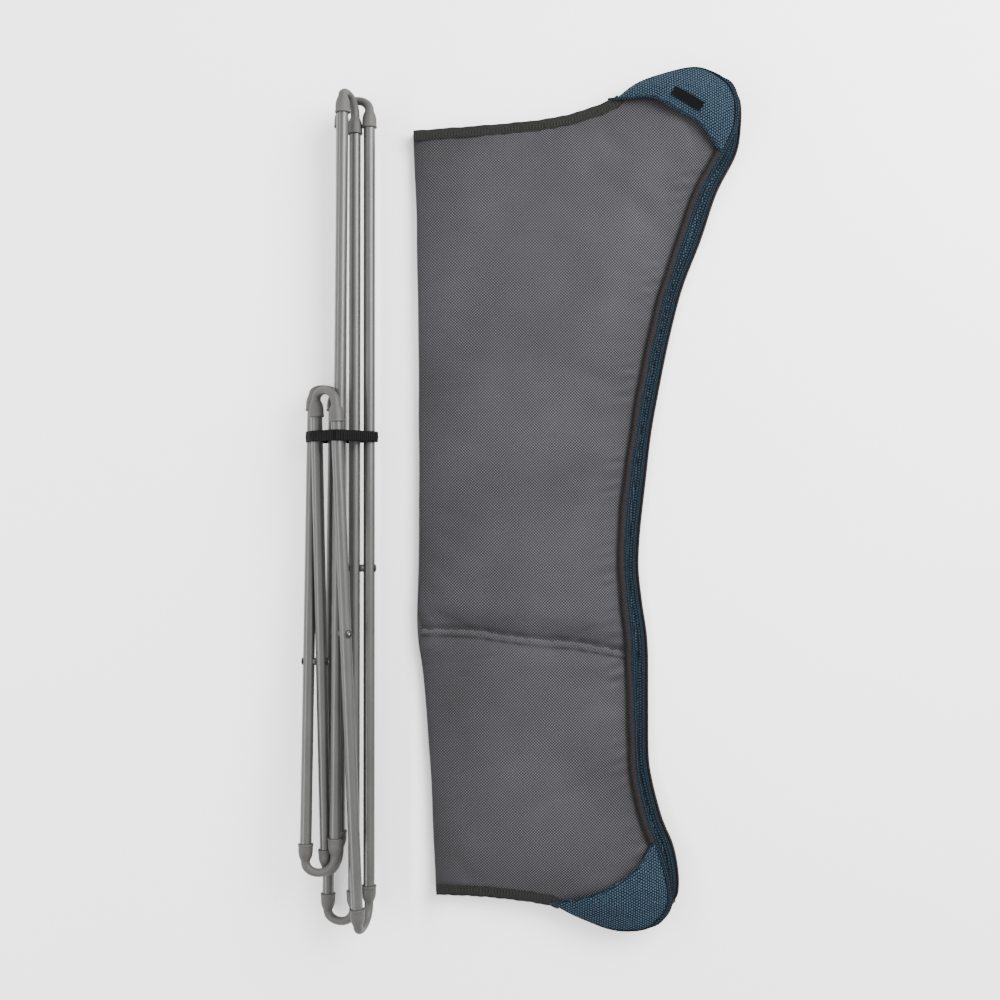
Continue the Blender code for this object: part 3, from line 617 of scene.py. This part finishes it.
def make_strap():
    base = strap_line(np.linspace(0, 2 * math.pi, 161)[:-1], STRAP_GAP)
    base[:, 2] = np.maximum(base[:, 2], 0.0006)
    centre, edge = base.mean(axis=0), STRAP_WIDTH / 2
    tangents = np.roll(base, -1, axis=0) - np.roll(base, 1, axis=0)
    section = [(-edge, 0.0), (-edge + 0.0005, 0.0009), (0.0, 0.0013), (edge - 0.0005, 0.0009),
               (edge, 0.0), (0.0, 0.0)]
    loop = swept("strap_loop", strap_rings(base, tangents, centre, section), STRAP,
                 closed=True)
    lap = strap_line(np.linspace(math.radians(-26), math.radians(88), 70), STRAP_GAP)
    along = np.linspace(0, 1, len(lap))
    lifts = 0.0022 * smooth((along - 0.82) / 0.18) + 0.0008 * np.sin(along * 9) ** 2
    section = [(-edge, 0.0015), (-edge + 0.0006, 0.0027), (-edge + 0.0014, 0.0030),
               (0.0, 0.00325), (edge - 0.0014, 0.0030), (edge - 0.0006, 0.0027),
               (edge, 0.0015), (0.0, 0.0015)]
    end = swept("strap_lap", strap_rings(lap, np.gradient(lap, axis=0), centre, section, lifts),
                STRAP)
    body = BODY_OF["strap"]
    for piece, node in ((loop, "strap"), (end, "strap_end")):
        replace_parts(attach(piece, body), node)
        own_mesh(piece)


# ---- cover
def edge_fractions(count, power):
    """0 to 1, with points closer together near both ends."""
    t = np.linspace(0, 1, count)
    return (1 - power) * t + power * (0.5 - 0.5 * np.cos(math.pi * t))


US = edge_fractions(80, 0.75)
VS = np.concatenate([np.linspace(0, 0.63, 100), np.linspace(0.63, 0.72, 54)[1:],
                     np.linspace(0.72, 1, 46)[1:]])
SEAM_LINE = spline(SEAM, np.linspace(0, 1, 40))
LONG_EDGE = np.linspace(0, 1, 260)
TOP_LINE, BOTTOM_LINE = spline(TOP_EDGE, LONG_EDGE), spline(BOTTOM_EDGE, LONG_EDGE)
NEAR_LINE, FAR_LINE = spline(NEAR_SIDE_EDGE, LONG_EDGE), spline(FAR_SIDE_EDGE, LONG_EDGE)
FOLD_LINE = spline(FOLD_EDGE, LONG_EDGE)


def simulate(obj, pins, pressure, slack, frames, cap):
    """Puffs a pinned sheet up with Cloth, keeps the result and removes the modifier."""
    start = np.empty(len(obj.data.vertices) * 3)
    obj.data.vertices.foreach_get("co", start)
    start = start.reshape(-1, 3)
    group = obj.vertex_groups.new(name="sewn")
    group.add([int(i) for i in np.flatnonzero(pins)], 1.0, "REPLACE")
    cloth = obj.modifiers.new("cloth", "CLOTH")
    settings = cloth.settings
    settings.quality = 6
    settings.mass = 0.15
    settings.tension_stiffness = settings.compression_stiffness = 12
    settings.shear_stiffness = 6
    settings.bending_stiffness = 0.25
    settings.air_damping = 3
    settings.use_pressure = True
    settings.uniform_pressure_force = pressure
    settings.shrink_min = -slack
    settings.vertex_group_mass = "sewn"
    settings.effector_weights.gravity = 0
    cloth.collision_settings.use_collision = False
    cloth.point_cache.frame_start, cloth.point_cache.frame_end = 1, frames
    for step in range(1, frames + 1):
        bpy.context.scene.frame_set(step)
    solved = obj.evaluated_get(bpy.context.evaluated_depsgraph_get()).data
    end = np.empty(len(obj.data.vertices) * 3)
    solved.vertices.foreach_get("co", end)
    move = end.reshape(-1, 3) - start
    length = np.linalg.norm(move, axis=1)
    move *= (cap * np.tanh(length / cap) / np.maximum(length, 1e-9))[:, None]
    obj.modifiers.remove(cloth)
    obj.data.vertices.foreach_set("co", (start + move).ravel())
    obj.data.update()
    bpy.context.scene.frame_set(1)


def past_fold(x, y):
    """Distance in from the fold, measured straight across the cover."""
    return x - np.interp(y, FOLD_LINE[::-1, 1], FOLD_LINE[::-1, 0])


def end_distance(x, y):
    """Distance from the nearer of the top and bottom edges."""
    return np.minimum(distance_to(TOP_LINE[::4], x, y), distance_to(BOTTOM_LINE[::4], x, y))


def seam_offset(x, y):
    """Signed distance above the cross seam, as y minus the seam's y at that x."""
    return y - np.interp(x, SEAM_LINE[:, 0], SEAM_LINE[:, 1])


def paint_shade(piece, amount):
    """Stores painted shade on a woven piece: a per-vertex amount that darkens its weave in
    creases and hollows.
    """
    layer = piece.data.attributes.new("painted_shade", "FLOAT", "POINT")
    values = np.broadcast_to(np.ravel(amount), len(piece.data.vertices))
    layer.data.foreach_set("value", np.ascontiguousarray(values, dtype=np.float32))


def near_panel_height(x, y):
    """Rest height of the near half's underside: crowned, drawn down at edges and seam."""
    side = distance_to(NEAR_LINE[::4], x, y)
    top = distance_to(TOP_LINE[::4], x, y)
    bottom = distance_to(BOTTOM_LINE[::4], x, y)
    fold = distance_to(FOLD_LINE[::8], x, y)
    inside = past_fold(x, y) - 0.0035
    crown = 0.0080 * smooth((side - 0.008) / 0.055) * smooth((top - 0.008) / 0.06)
    crown *= smooth((bottom - 0.006) / 0.06) * smooth((fold - 0.002) / 0.08)
    height = 0.0182 + crown - 0.0036 * smooth(1 - np.abs(side - 0.0100) / 0.0120)
    height -= 0.0012 * smooth(1 - side / 0.0085)
    round_off = np.clip((0.026 - inside) / 0.0310, 0, 0.93)
    height -= 0.0092 * (1 - np.sqrt(1 - round_off**2))
    ripple = np.sin(y * 640 + 3 * np.sin(y * 57)) * np.sin(y * 171)
    height += 0.0004 * np.exp(-np.abs(inside - 0.004) / 0.014) * ripple
    gather = np.sin(y * 270 + 3 * np.sin(y * 33)) * (0.6 + 0.4 * np.sin(y * 61))
    height += 0.0011 * gather * bell(side, 0.022, 0.013)
    across = seam_offset(x, y)
    full = 0.45 + 0.55 * smooth((side - 0.01) / 0.05) * smooth(inside / 0.05)
    reach = np.where(across > 0.002, 0.0170, 0.0105)
    groove = -0.0075 * full * bell(across, 0.002, reach)
    ridge = 0.0026 * bell(across, 0.036, 0.017) + 0.0020 * bell(across, -0.024, 0.012)
    pucker = (0.5 + 0.5 * np.sin(x * 150 + 2 * np.sin(x * 43))) ** 2
    ridge -= 0.0022 * pucker * bell(across, -0.0075, 0.0045)
    return height + (groove + ridge) * smooth(side / 0.02) + lift(x, y)


def make_near_panel():
    left_edge = [(px + 0.0005, py) for px, py in FOLD_EDGE]
    flat = coons(left_edge, NEAR_SIDE_EDGE, TOP_EDGE, BOTTOM_EDGE, US, VS)
    x, y = flat[..., 0], flat[..., 1]
    points = np.dstack([drawn_in(flat), near_panel_height(x, y)])
    piece = make("near_panel", points.reshape(-1, 3), grid_faces(*x.shape), UNDERSIDE,
                 flat.reshape(-1, 2))
    side = distance_to(NEAR_LINE[::4], x, y)
    ends, inside, across = end_distance(x, y), past_fold(x, y), seam_offset(x, y)
    # Painted shade in the weave: a dark line along the binding's tuck, darker towards the fold,
    # the sides and the ends, a soft dark band above the cross seam and a dark line below it; the
    # gather term paints light and shade on the puckers by the binding.
    tuck = 0.5 + 0.5 * np.sin(x * 190 + 3 * np.sin(x * 51))
    painted_shade = 0.26 * bell(side, 0.0084, 0.0017) + 0.09 * np.exp(-inside / 0.03)
    painted_shade += 0.05 * np.exp(-side / 0.035) + 0.08 * np.exp(-ends / 0.03)
    painted_shade += (0.10 + 0.10 * tuck) * bell(across, 0.0065, 0.0048)
    painted_shade += (0.16 + 0.18 * tuck) * bell(across, -0.0068, 0.0018)
    gather = np.sin(y * 330 + 90 * side) * (0.5 + 0.5 * np.sin(y * 47))
    painted_shade += 0.09 * gather * bell(side, 0.022, 0.013)
    paint_shade(piece, painted_shade)
    pins = np.zeros(x.shape)
    pins[(side < 0.0120) | (ends < 0.009) | (np.abs(across) < 0.0060)] = 1.0
    pins[inside < 0.0095] = 1.0
    if np.mean([face.normal.z for face in piece.data.polygons]) < 0:
        piece.data.flip_normals()
    simulate(piece, pins.ravel(), pressure=1.6, slack=0.006, frames=20, cap=0.006)
    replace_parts(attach(piece, "cover_near"), "underside_panel_near")
    thick = piece.modifiers.new("cloth_thickness", "SOLIDIFY")
    thick.thickness, thick.offset = 0.0012, -1


def quilted(name, right_edge, base, up, body, nodes, material):
    """A mesh face with its foam: a pad whose outer face is the seating side."""
    left_edge = [(px + 0.0075, py) for px, py in FOLD_EDGE]
    flat = coons(left_edge, right_edge, TOP_EDGE, BOTTOM_EDGE, US[::2], VS[::2])
    x, y = flat[..., 0], flat[..., 1]
    border = np.minimum(distance_to(spline(right_edge, LONG_EDGE)[::4], x, y),
                        end_distance(x, y))
    drop = 0.0016 * np.exp(-border / 0.006)
    drop += (0.0008 if up < 0 else 0.0016) * bell(seam_offset(x, y), 0.0, 0.006)
    face = base - up * drop + lift(x, y)
    back = face - up * 0.0066
    if up < 0:
        back = np.clip(near_panel_height(x, y) - 0.0036, face + 0.0004, back)
    placed = drawn_in(flat)
    piece = shell(name, np.dstack([placed, face]), np.dstack([placed, back]), material)
    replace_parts(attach(piece, body), *nodes)
    return piece


def make_seam_welt():
    """The cross seam's allowance: a narrow raised band of the underside's own fabric, in a
    lighter copy of its weave as a painted highlight.
    """
    line = spline(SEAM, np.linspace(0, 1, 150))[4:-8]
    way = np.gradient(line, axis=0)
    way /= np.linalg.norm(way, axis=1)[:, None]
    up = np.column_stack([-way[:, 1], way[:, 0]])
    rings, flat = [], []
    section = [(-0.0046, -0.0022), (-0.0042, 0.0000), (-0.0030, 0.0007), (-0.0010, 0.0010),
               (0.0014, 0.0008), (0.0026, 0.0001), (0.0030, -0.0024), (-0.0006, -0.0026)]
    for i, (point, turn) in enumerate(zip(line, up)):
        sway = 0.0009 * math.sin(i * 0.83) * math.sin(i * 0.23)
        tuck = 0.8 + 0.3 * math.sin(i * 0.57 + 2 * math.sin(i * 0.19))
        base = float(near_panel_height(*point)) + 0.0004
        rings.append([(*(point + turn * (out * tuck + sway)), base + z * tuck)
                      for out, z in section])
        flat.append([point + turn * out * 1.4 for out, _ in section])
    piece = swept("near_seam_welt", rings, WELT_PAINTED_HIGHLIGHT, uv=np.array(flat))
    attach(piece, "cover_near")


def rim_normals(line):
    """Unit vectors pointing out of a cover whose rim runs clockwise seen from above."""
    way = np.gradient(line, axis=0)
    way /= np.linalg.norm(way, axis=1)[:, None]
    return np.column_stack([-way[:, 1], way[:, 0]])


def rim_band(name, line, section, material, body, node=None, waves=0.0, side=False):
    """A solid along a rim. Section points are (distance outward, height).

    With side, the section's outward part shows only where the rim faces the long side.
    """
    normals = rim_normals(line)
    height = lift(line[:, 0], line[:, 1])
    wobble = waves * np.sin(np.linspace(0, 23, len(line))) * np.sin(np.linspace(0, 61, len(line)))
    rings = []
    for point, normal, up, sway in zip(line, normals, height, wobble):
        share = float(smooth((normal[0] - 0.35) / 0.5)) if side else 1.0
        rings.append([(*(drawn_in(point) + normal * (out * (share if out > 0 else 1) + sway)),
                       z + up) for out, z in section])
    piece = swept(name, rings, material)
    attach(piece, body)
    if node:
        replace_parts(piece, node)
    return piece


def rim_path(side_line):
    """Top edge, side and bottom edge in one run, with its corners rounded off."""
    run = np.vstack([TOP_LINE[:-3], side_line[3:-3], BOTTOM_LINE[::-1][3:]])
    run = at_fractions(run, np.linspace(0, 1, 900))
    kernel = np.ones(9) / 9
    padded_run = np.vstack([np.repeat(run[:1], 4, axis=0), run, np.repeat(run[-1:], 4, axis=0)])
    soft = np.column_stack([np.convolve(padded_run[:, i], kernel, "valid") for i in range(2)])
    soft[0], soft[-1] = run[0], run[-1]
    return soft


def part_of(run, start, stop, count):
    """Even points along the part of a run between the points nearest two ends."""
    first = np.argmin(np.hypot(*(run - np.array(start)).T))
    last = np.argmin(np.hypot(*(run - np.array(stop)).T))
    return at_fractions(run[first:last + 1], np.linspace(0, 1, count))


def make_rims():
    near_run, far_run = rim_path(NEAR_LINE), rim_path(FAR_LINE)
    corner_top, corner_bottom = BACK_MOUTH[0], FRONT_MOUTH[0]
    side_top, side_bottom = BACK_MOUTH[-1], FRONT_MOUTH[-1]
    tape_section = [(0.0000, 0.0152), (0.0004, 0.0190), (-0.0008, 0.0211), (-0.0026, 0.0219),
                    (-0.0052, 0.0215), (-0.0070, 0.0200), (-0.0076, 0.0176),
                    (-0.0064, 0.0160), (-0.0030, 0.0150)]
    tape_run = part_of(near_run, side_top, side_bottom, 420)
    rim_band("near_side_tape", tape_run, tape_section, BINDING, "cover_near",
             "side_binding_near", 0.0006)
    roll = [(-0.006, 0.0162), (-0.0005, 0.0196), (0.0022, 0.0198), (0.0048, 0.0186),
            (0.0066, 0.0162), (0.0068, 0.0132), (0.0044, 0.0110), (-0.006, 0.0110)]
    roll_run = part_of(near_run, corner_top, corner_bottom, 520)
    rim_band("near_mesh_roll", roll_run, roll, MESH_SHADED_SIDE, "cover_near",
             None, 0.0003, side=True)
    far_roll_run = part_of(far_run, corner_top, corner_bottom, 520)
    far_roll_run = far_roll_run + rim_normals(far_roll_run) * 0.0014
    far_roll = [(-0.014, 0.0096), (-0.0085, 0.0097), (-0.0055, 0.0088), (-0.0042, 0.0066),
                (-0.0046, 0.0044), (-0.0070, 0.0030), (-0.014, 0.0028)]
    rim_band("far_mesh_roll", far_roll_run, far_roll, MESH_SHADED_SIDE, "cover_far",
             None, 0.0004)
    far_tape = [(-0.0075, 0.0012), (-0.0010, 0.0010), (0.0008, 0.0022), (0.0004, 0.0038),
                (-0.0012, 0.0046), (-0.0035, 0.0044), (-0.0075, 0.0040)]
    rim_band("far_side_tape", far_roll_run, far_tape, BINDING, "cover_far",
             "side_binding_far", 0.0004)
    angle = np.arange(10) * 2 * math.pi / 10
    cord = [(-0.0010 + 0.0013 * math.cos(a), 0.0054 + 0.0013 * math.sin(a)) for a in angle]
    rim_band("far_piping", far_roll_run, cord, PIPING, "cover_far", None,
             0.0004)
    near_hem = [(0.0022, 0.0118), (0.0030, 0.0150), (0.0026, 0.0185), (0.0010, 0.0202),
                (-0.0040, 0.0207), (-0.0095, 0.0205), (-0.0125, 0.0199), (-0.0120, 0.0186),
                (-0.0020, 0.0160), (-0.0010, 0.0118)]
    far_hem = [(0.0022, 0.0012), (0.0030, 0.0050), (0.0022, 0.0088), (0.0004, 0.0098),
               (-0.0100, 0.0100), (-0.0100, 0.0086), (-0.0010, 0.0070), (-0.0060, 0.0012)]
    for half, section in (("near", near_hem), ("far", far_hem)):
        top_run = part_of(near_run, TOP_EDGE[0], TOP_HEM_END, 200)
        bottom_run = part_of(near_run, BOTTOM_HEM_END, BOTTOM_EDGE[0], 170)
        body = f"cover_{half}"
        rim_band(f"{half}_top_hem", top_run, section, HEM, body,
                 f"top_hem_{half}", 0.0005)
        rim_band(f"{half}_bottom_hem", bottom_run, section, HEM, body,
                 f"bottom_hem_{half}", 0.0005)
    return near_run


def make_fold():
    """The underside fabric where it turns round the fold."""
    line = spline([(px + 0.0035, py) for px, py in FOLD_EDGE], np.linspace(0, 1, 150))
    normals = -rim_normals(line)
    angle = np.linspace(math.radians(-88), math.radians(42), 20)
    rings, flat = [], []
    for i, (point, normal) in enumerate(zip(line, normals)):
        sway = 0.0004 * math.sin(i * 0.31) * math.sin(i * 0.083)
        outer = [(-0.0060, 0.0004), (-0.0020, 0.0003)]
        outer += [(math.cos(a) * (0.0045 + sway), 0.0080 + math.sin(a) * 0.0077)
                  for a in angle]
        outer += [(0.0016, 0.0128), (0.0000, 0.0124)]
        inner = [(out - 0.0012, 0.0080 + (z - 0.0080) * 0.86) for out, z in reversed(outer)]
        up = float(lift(point[0], point[1]))
        rings.append([(*(point + normal * out), z + up) for out, z in outer + inner])
        across = np.linspace(-0.018, 0.018, len(outer))
        across = np.concatenate([across, across[::-1]])
        flat.append([(line[i, 0] - a, line[i, 1]) for a in across])
    piece = swept("fold_wrap", rings, UNDERSIDE, uv=np.array(flat))
    # Painted shade: the whole strip round the fold is darkened, standing in for the shade on the
    # fold's side.
    paint_shade(piece, 0.12)
    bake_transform(piece)


def outline_run(run, mouth):
    """The rim between a pocket's two ends, in the mouth's own direction."""
    ends = [np.argmin(np.hypot(*(run - np.array(p)).T)) for p in (mouth[0], mouth[-1])]
    part = run[min(ends):max(ends) + 1]
    return part if ends[0] < ends[1] else part[::-1]


def make_near_pocket(name, node, mouth, run):
    """A mesh pocket on the near half: it gapes at its mouth and rolls over the rim."""
    across = np.linspace(0, 1, 71)
    mouth_line = spline(mouth, across)
    rim = at_fractions(outline_run(run, mouth), across)
    normals = rim_normals(rim)
    if ((rim - mouth_line) * normals).sum() < 0:
        normals = -normals
    inward = np.concatenate([np.linspace(0, 0.9, 30), [0.93, 0.955, 0.975, 0.99, 1.0]])
    rim = drawn_in(rim)
    bulge = np.sin(math.pi * across) ** 0.8
    rows = []
    for t in inward:
        flat = (1 - t) * mouth_line + t * rim
        x, y = flat[:, 0], flat[:, 1]
        rest = np.clip(near_panel_height(x, y) - lift(x, y), 0.0180, 0.0225) + lift(x, y) + 0.0016
        puff = 0.0160 * bulge * (1 - t**2.0) + 0.0020 * bulge * math.sin(math.pi * t)
        fall = 0.0022 * smooth((t - 0.90) / 0.10)
        ripple = 0.0006 * np.sin(across * 17 + t * 5) * bulge * (1 - t)
        rows.append(np.column_stack([x, y, rest + puff + ripple - fall]))
    share = 0.3 + 0.7 * smooth((normals[:, :1] - 0.35) / 0.5)
    for out, z in ((0.0014, 0.0184), (0.0024, 0.0162), (0.0026, 0.0136), (0.0018, 0.0116)):
        flat = rim + normals * out * share
        rows.append(np.column_stack([flat, z + lift(flat[:, 0], flat[:, 1])]))
    outer = np.array(rows)
    inner = outer.copy()
    inner[..., 2] -= 0.0022
    inner[-4:, :, :2] -= normals[None] * 0.0022
    inner[-4:, :, 2] += 0.0010
    piece = shell(name, outer, inner, MESH)
    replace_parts(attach(piece, "cover_near"), node)
    hem_rings = []
    way = np.gradient(outer[0], axis=0)
    for point, tangent in zip(outer[0] - (0, 0, 0.0011), way):
        hem_rings.append(ring(point, tangent, (0, 0, 1), 0.0019, 12))
    hem = swept(f"{name}_mouth", hem_rings, MESH)
    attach(hem, "cover_near")
    width = float(np.linalg.norm(mouth_line[-1] - mouth_line[0]))
    depth = float(np.linalg.norm(rim - mouth_line, axis=1).max())
    return piece, hem, (width, depth), outer


def make_far_pocket(name, node, mouth, run):
    """A mesh pocket under the far half, flat on the ground and rising to the rim."""
    across = np.linspace(0, 1, 41)
    mouth_line = spline(mouth, across)
    rim = at_fractions(outline_run(run, mouth), across)
    rows = []
    for t in np.linspace(0, 0.96, 20):
        flat = (1 - t) * mouth_line + t * rim
        flat = drawn_in(flat)
        edge = np.maximum(t, np.abs(2 * across - 1)) ** 6
        room = np.maximum(lift(flat[:, 0], flat[:, 1]) - 0.0022, 0)
        rows.append(np.column_stack([flat, 0.0014 + edge * room]))
    outer = np.array(rows)
    inner = outer - (0, 0, 0.0013)
    piece = shell(name, outer, inner, MESH)
    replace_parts(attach(piece, "cover_far"), node)


def make_far_underside():
    flat = coons(FOLD_EDGE, FAR_SIDE_EDGE, TOP_EDGE, BOTTOM_EDGE, US[::2], VS[::2])
    x, y = flat[..., 0], flat[..., 1]
    low = 0.0001 + lift(x, y)
    placed = drawn_in(flat)
    top = np.dstack([placed, low + 0.0020])
    piece = shell("far_panel", top, np.dstack([placed, low]), UNDERSIDE)
    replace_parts(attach(piece, "cover_far"), "underside_panel_far")


def make_tag(pocket_top):
    """A small blank fabric tag sewn to the near back pocket, a folded loop of tape."""
    centre, turn = np.array((0.2570, 0.5500)), math.radians(-30)
    width, height = 0.046, 0.0135
    s, t = np.meshgrid(np.linspace(-0.5, 0.5, 25), np.linspace(-0.5, 0.5, 9))
    local = np.dstack([s * width, t * height])
    spin = np.array(((math.cos(turn), -math.sin(turn)), (math.sin(turn), math.cos(turn))))
    flat = local @ spin.T + centre
    known = pocket_top.reshape(-1, 3)
    rest = np.empty(flat.shape[:2])
    for index in np.ndindex(rest.shape):
        gap = np.hypot(known[:, 0] - flat[index][0], known[:, 1] - flat[index][1])
        near = np.argsort(gap)[:6]
        weight = 1 / (gap[near] + 1e-4)
        rest[index] = (known[near, 2] * weight).sum() / weight.sum()
    rest += 0.0006 + 0.0010 * (0.5 - t) ** 2
    top = np.dstack([flat, rest + 0.0008])
    bottom = np.dstack([flat, rest])
    piece = shell("blank_tag_cloth", top, bottom, TAG)
    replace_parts(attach(piece, "cover_near"), "blank_tag")


def make_cover():
    make_near_panel()
    make_seam_welt()
    quilted("near_mesh_pad", NEAR_SIDE_EDGE, FOLD_Z + 0.0004, -1, "cover_near",
            ("mesh_top_near", "padding_near"), MESH)
    far_edge = [tuple(p) for p in FAR_LINE[::13] + rim_normals(FAR_LINE)[::13] * -0.006]
    quilted("far_mesh_pad", far_edge, FOLD_Z - 0.0004, 1, "cover_far",
            ("mesh_top_far", "padding_far"), MESH)
    make_far_underside()
    near_run = make_rims()
    make_fold()
    back = make_near_pocket("near_back_pocket", "back_pocket_near", BACK_MOUTH, near_run)
    front = make_near_pocket("near_front_pocket", "front_pocket_near", FRONT_MOUTH, near_run)
    make_far_pocket("far_back_pocket", "back_pocket_far", BACK_MOUTH, near_run)
    make_far_pocket("far_front_pocket", "front_pocket_far", FRONT_MOUTH, near_run)
    make_tag(back[3])


# ---- stage
def make_stage():
    floor = bpy.data.meshes.new("floor")
    reach = 6.0
    floor.from_pydata([(-reach, -reach, -0.0004), (reach, -reach, -0.0004),
                       (reach, reach, -0.0004), (-reach, reach, -0.0004)], [],
                      [(0, 1, 2, 3)])
    s = Shader("floor_white", roughness=0.9)
    tone = s.noise(3.0, 2.0)
    s.colour(s.ramp(tone, [(0.3, grey(0.90)), (0.7, grey(0.92))]))
    floor.materials.append(s.material)
    ground = bpy.data.objects.new("floor", floor)
    bpy.context.scene.collection.objects.link(ground)
    world = bpy.data.worlds.new("studio")
    world.use_nodes = True
    world.node_tree.nodes["Background"].inputs[0].default_value = (1, 1, 1, 1)
    world.node_tree.nodes["Background"].inputs[1].default_value = 1.9
    bpy.context.scene.world = world
    for name, place, size, power in (("key", (1.5, 1.2, 1.7), (2.2, 1.4), 190),
                                     ("strip", (-1.7, 0.0, 1.3), (3.0, 0.16), 45)):
        light = bpy.data.lights.new(name, "AREA")
        light.shape, light.energy = "RECTANGLE", power
        light.size, light.size_y = size
        lamp = bpy.data.objects.new(name, light)
        lamp.location = place
        lamp.rotation_mode = "QUATERNION"
        lamp.rotation_quaternion = (-Vector(place)).to_track_quat("-Z", "Y")
        bpy.context.scene.collection.objects.link(lamp)
    camera = bpy.data.objects.new("camera", bpy.data.cameras.new("camera"))
    camera.data.lens = 45.97
    camera.data.sensor_width = 36.0
    camera.location = Vector((0.0, 0.0, CAMERA_HEIGHT)) - Vector(CENTRE)
    camera.data.clip_end = 50
    bpy.context.scene.collection.objects.link(camera)
    bpy.context.scene.camera = camera


make_stage()
make_tubes()
make_rivets()
make_connectors()
make_strap()
make_cover()
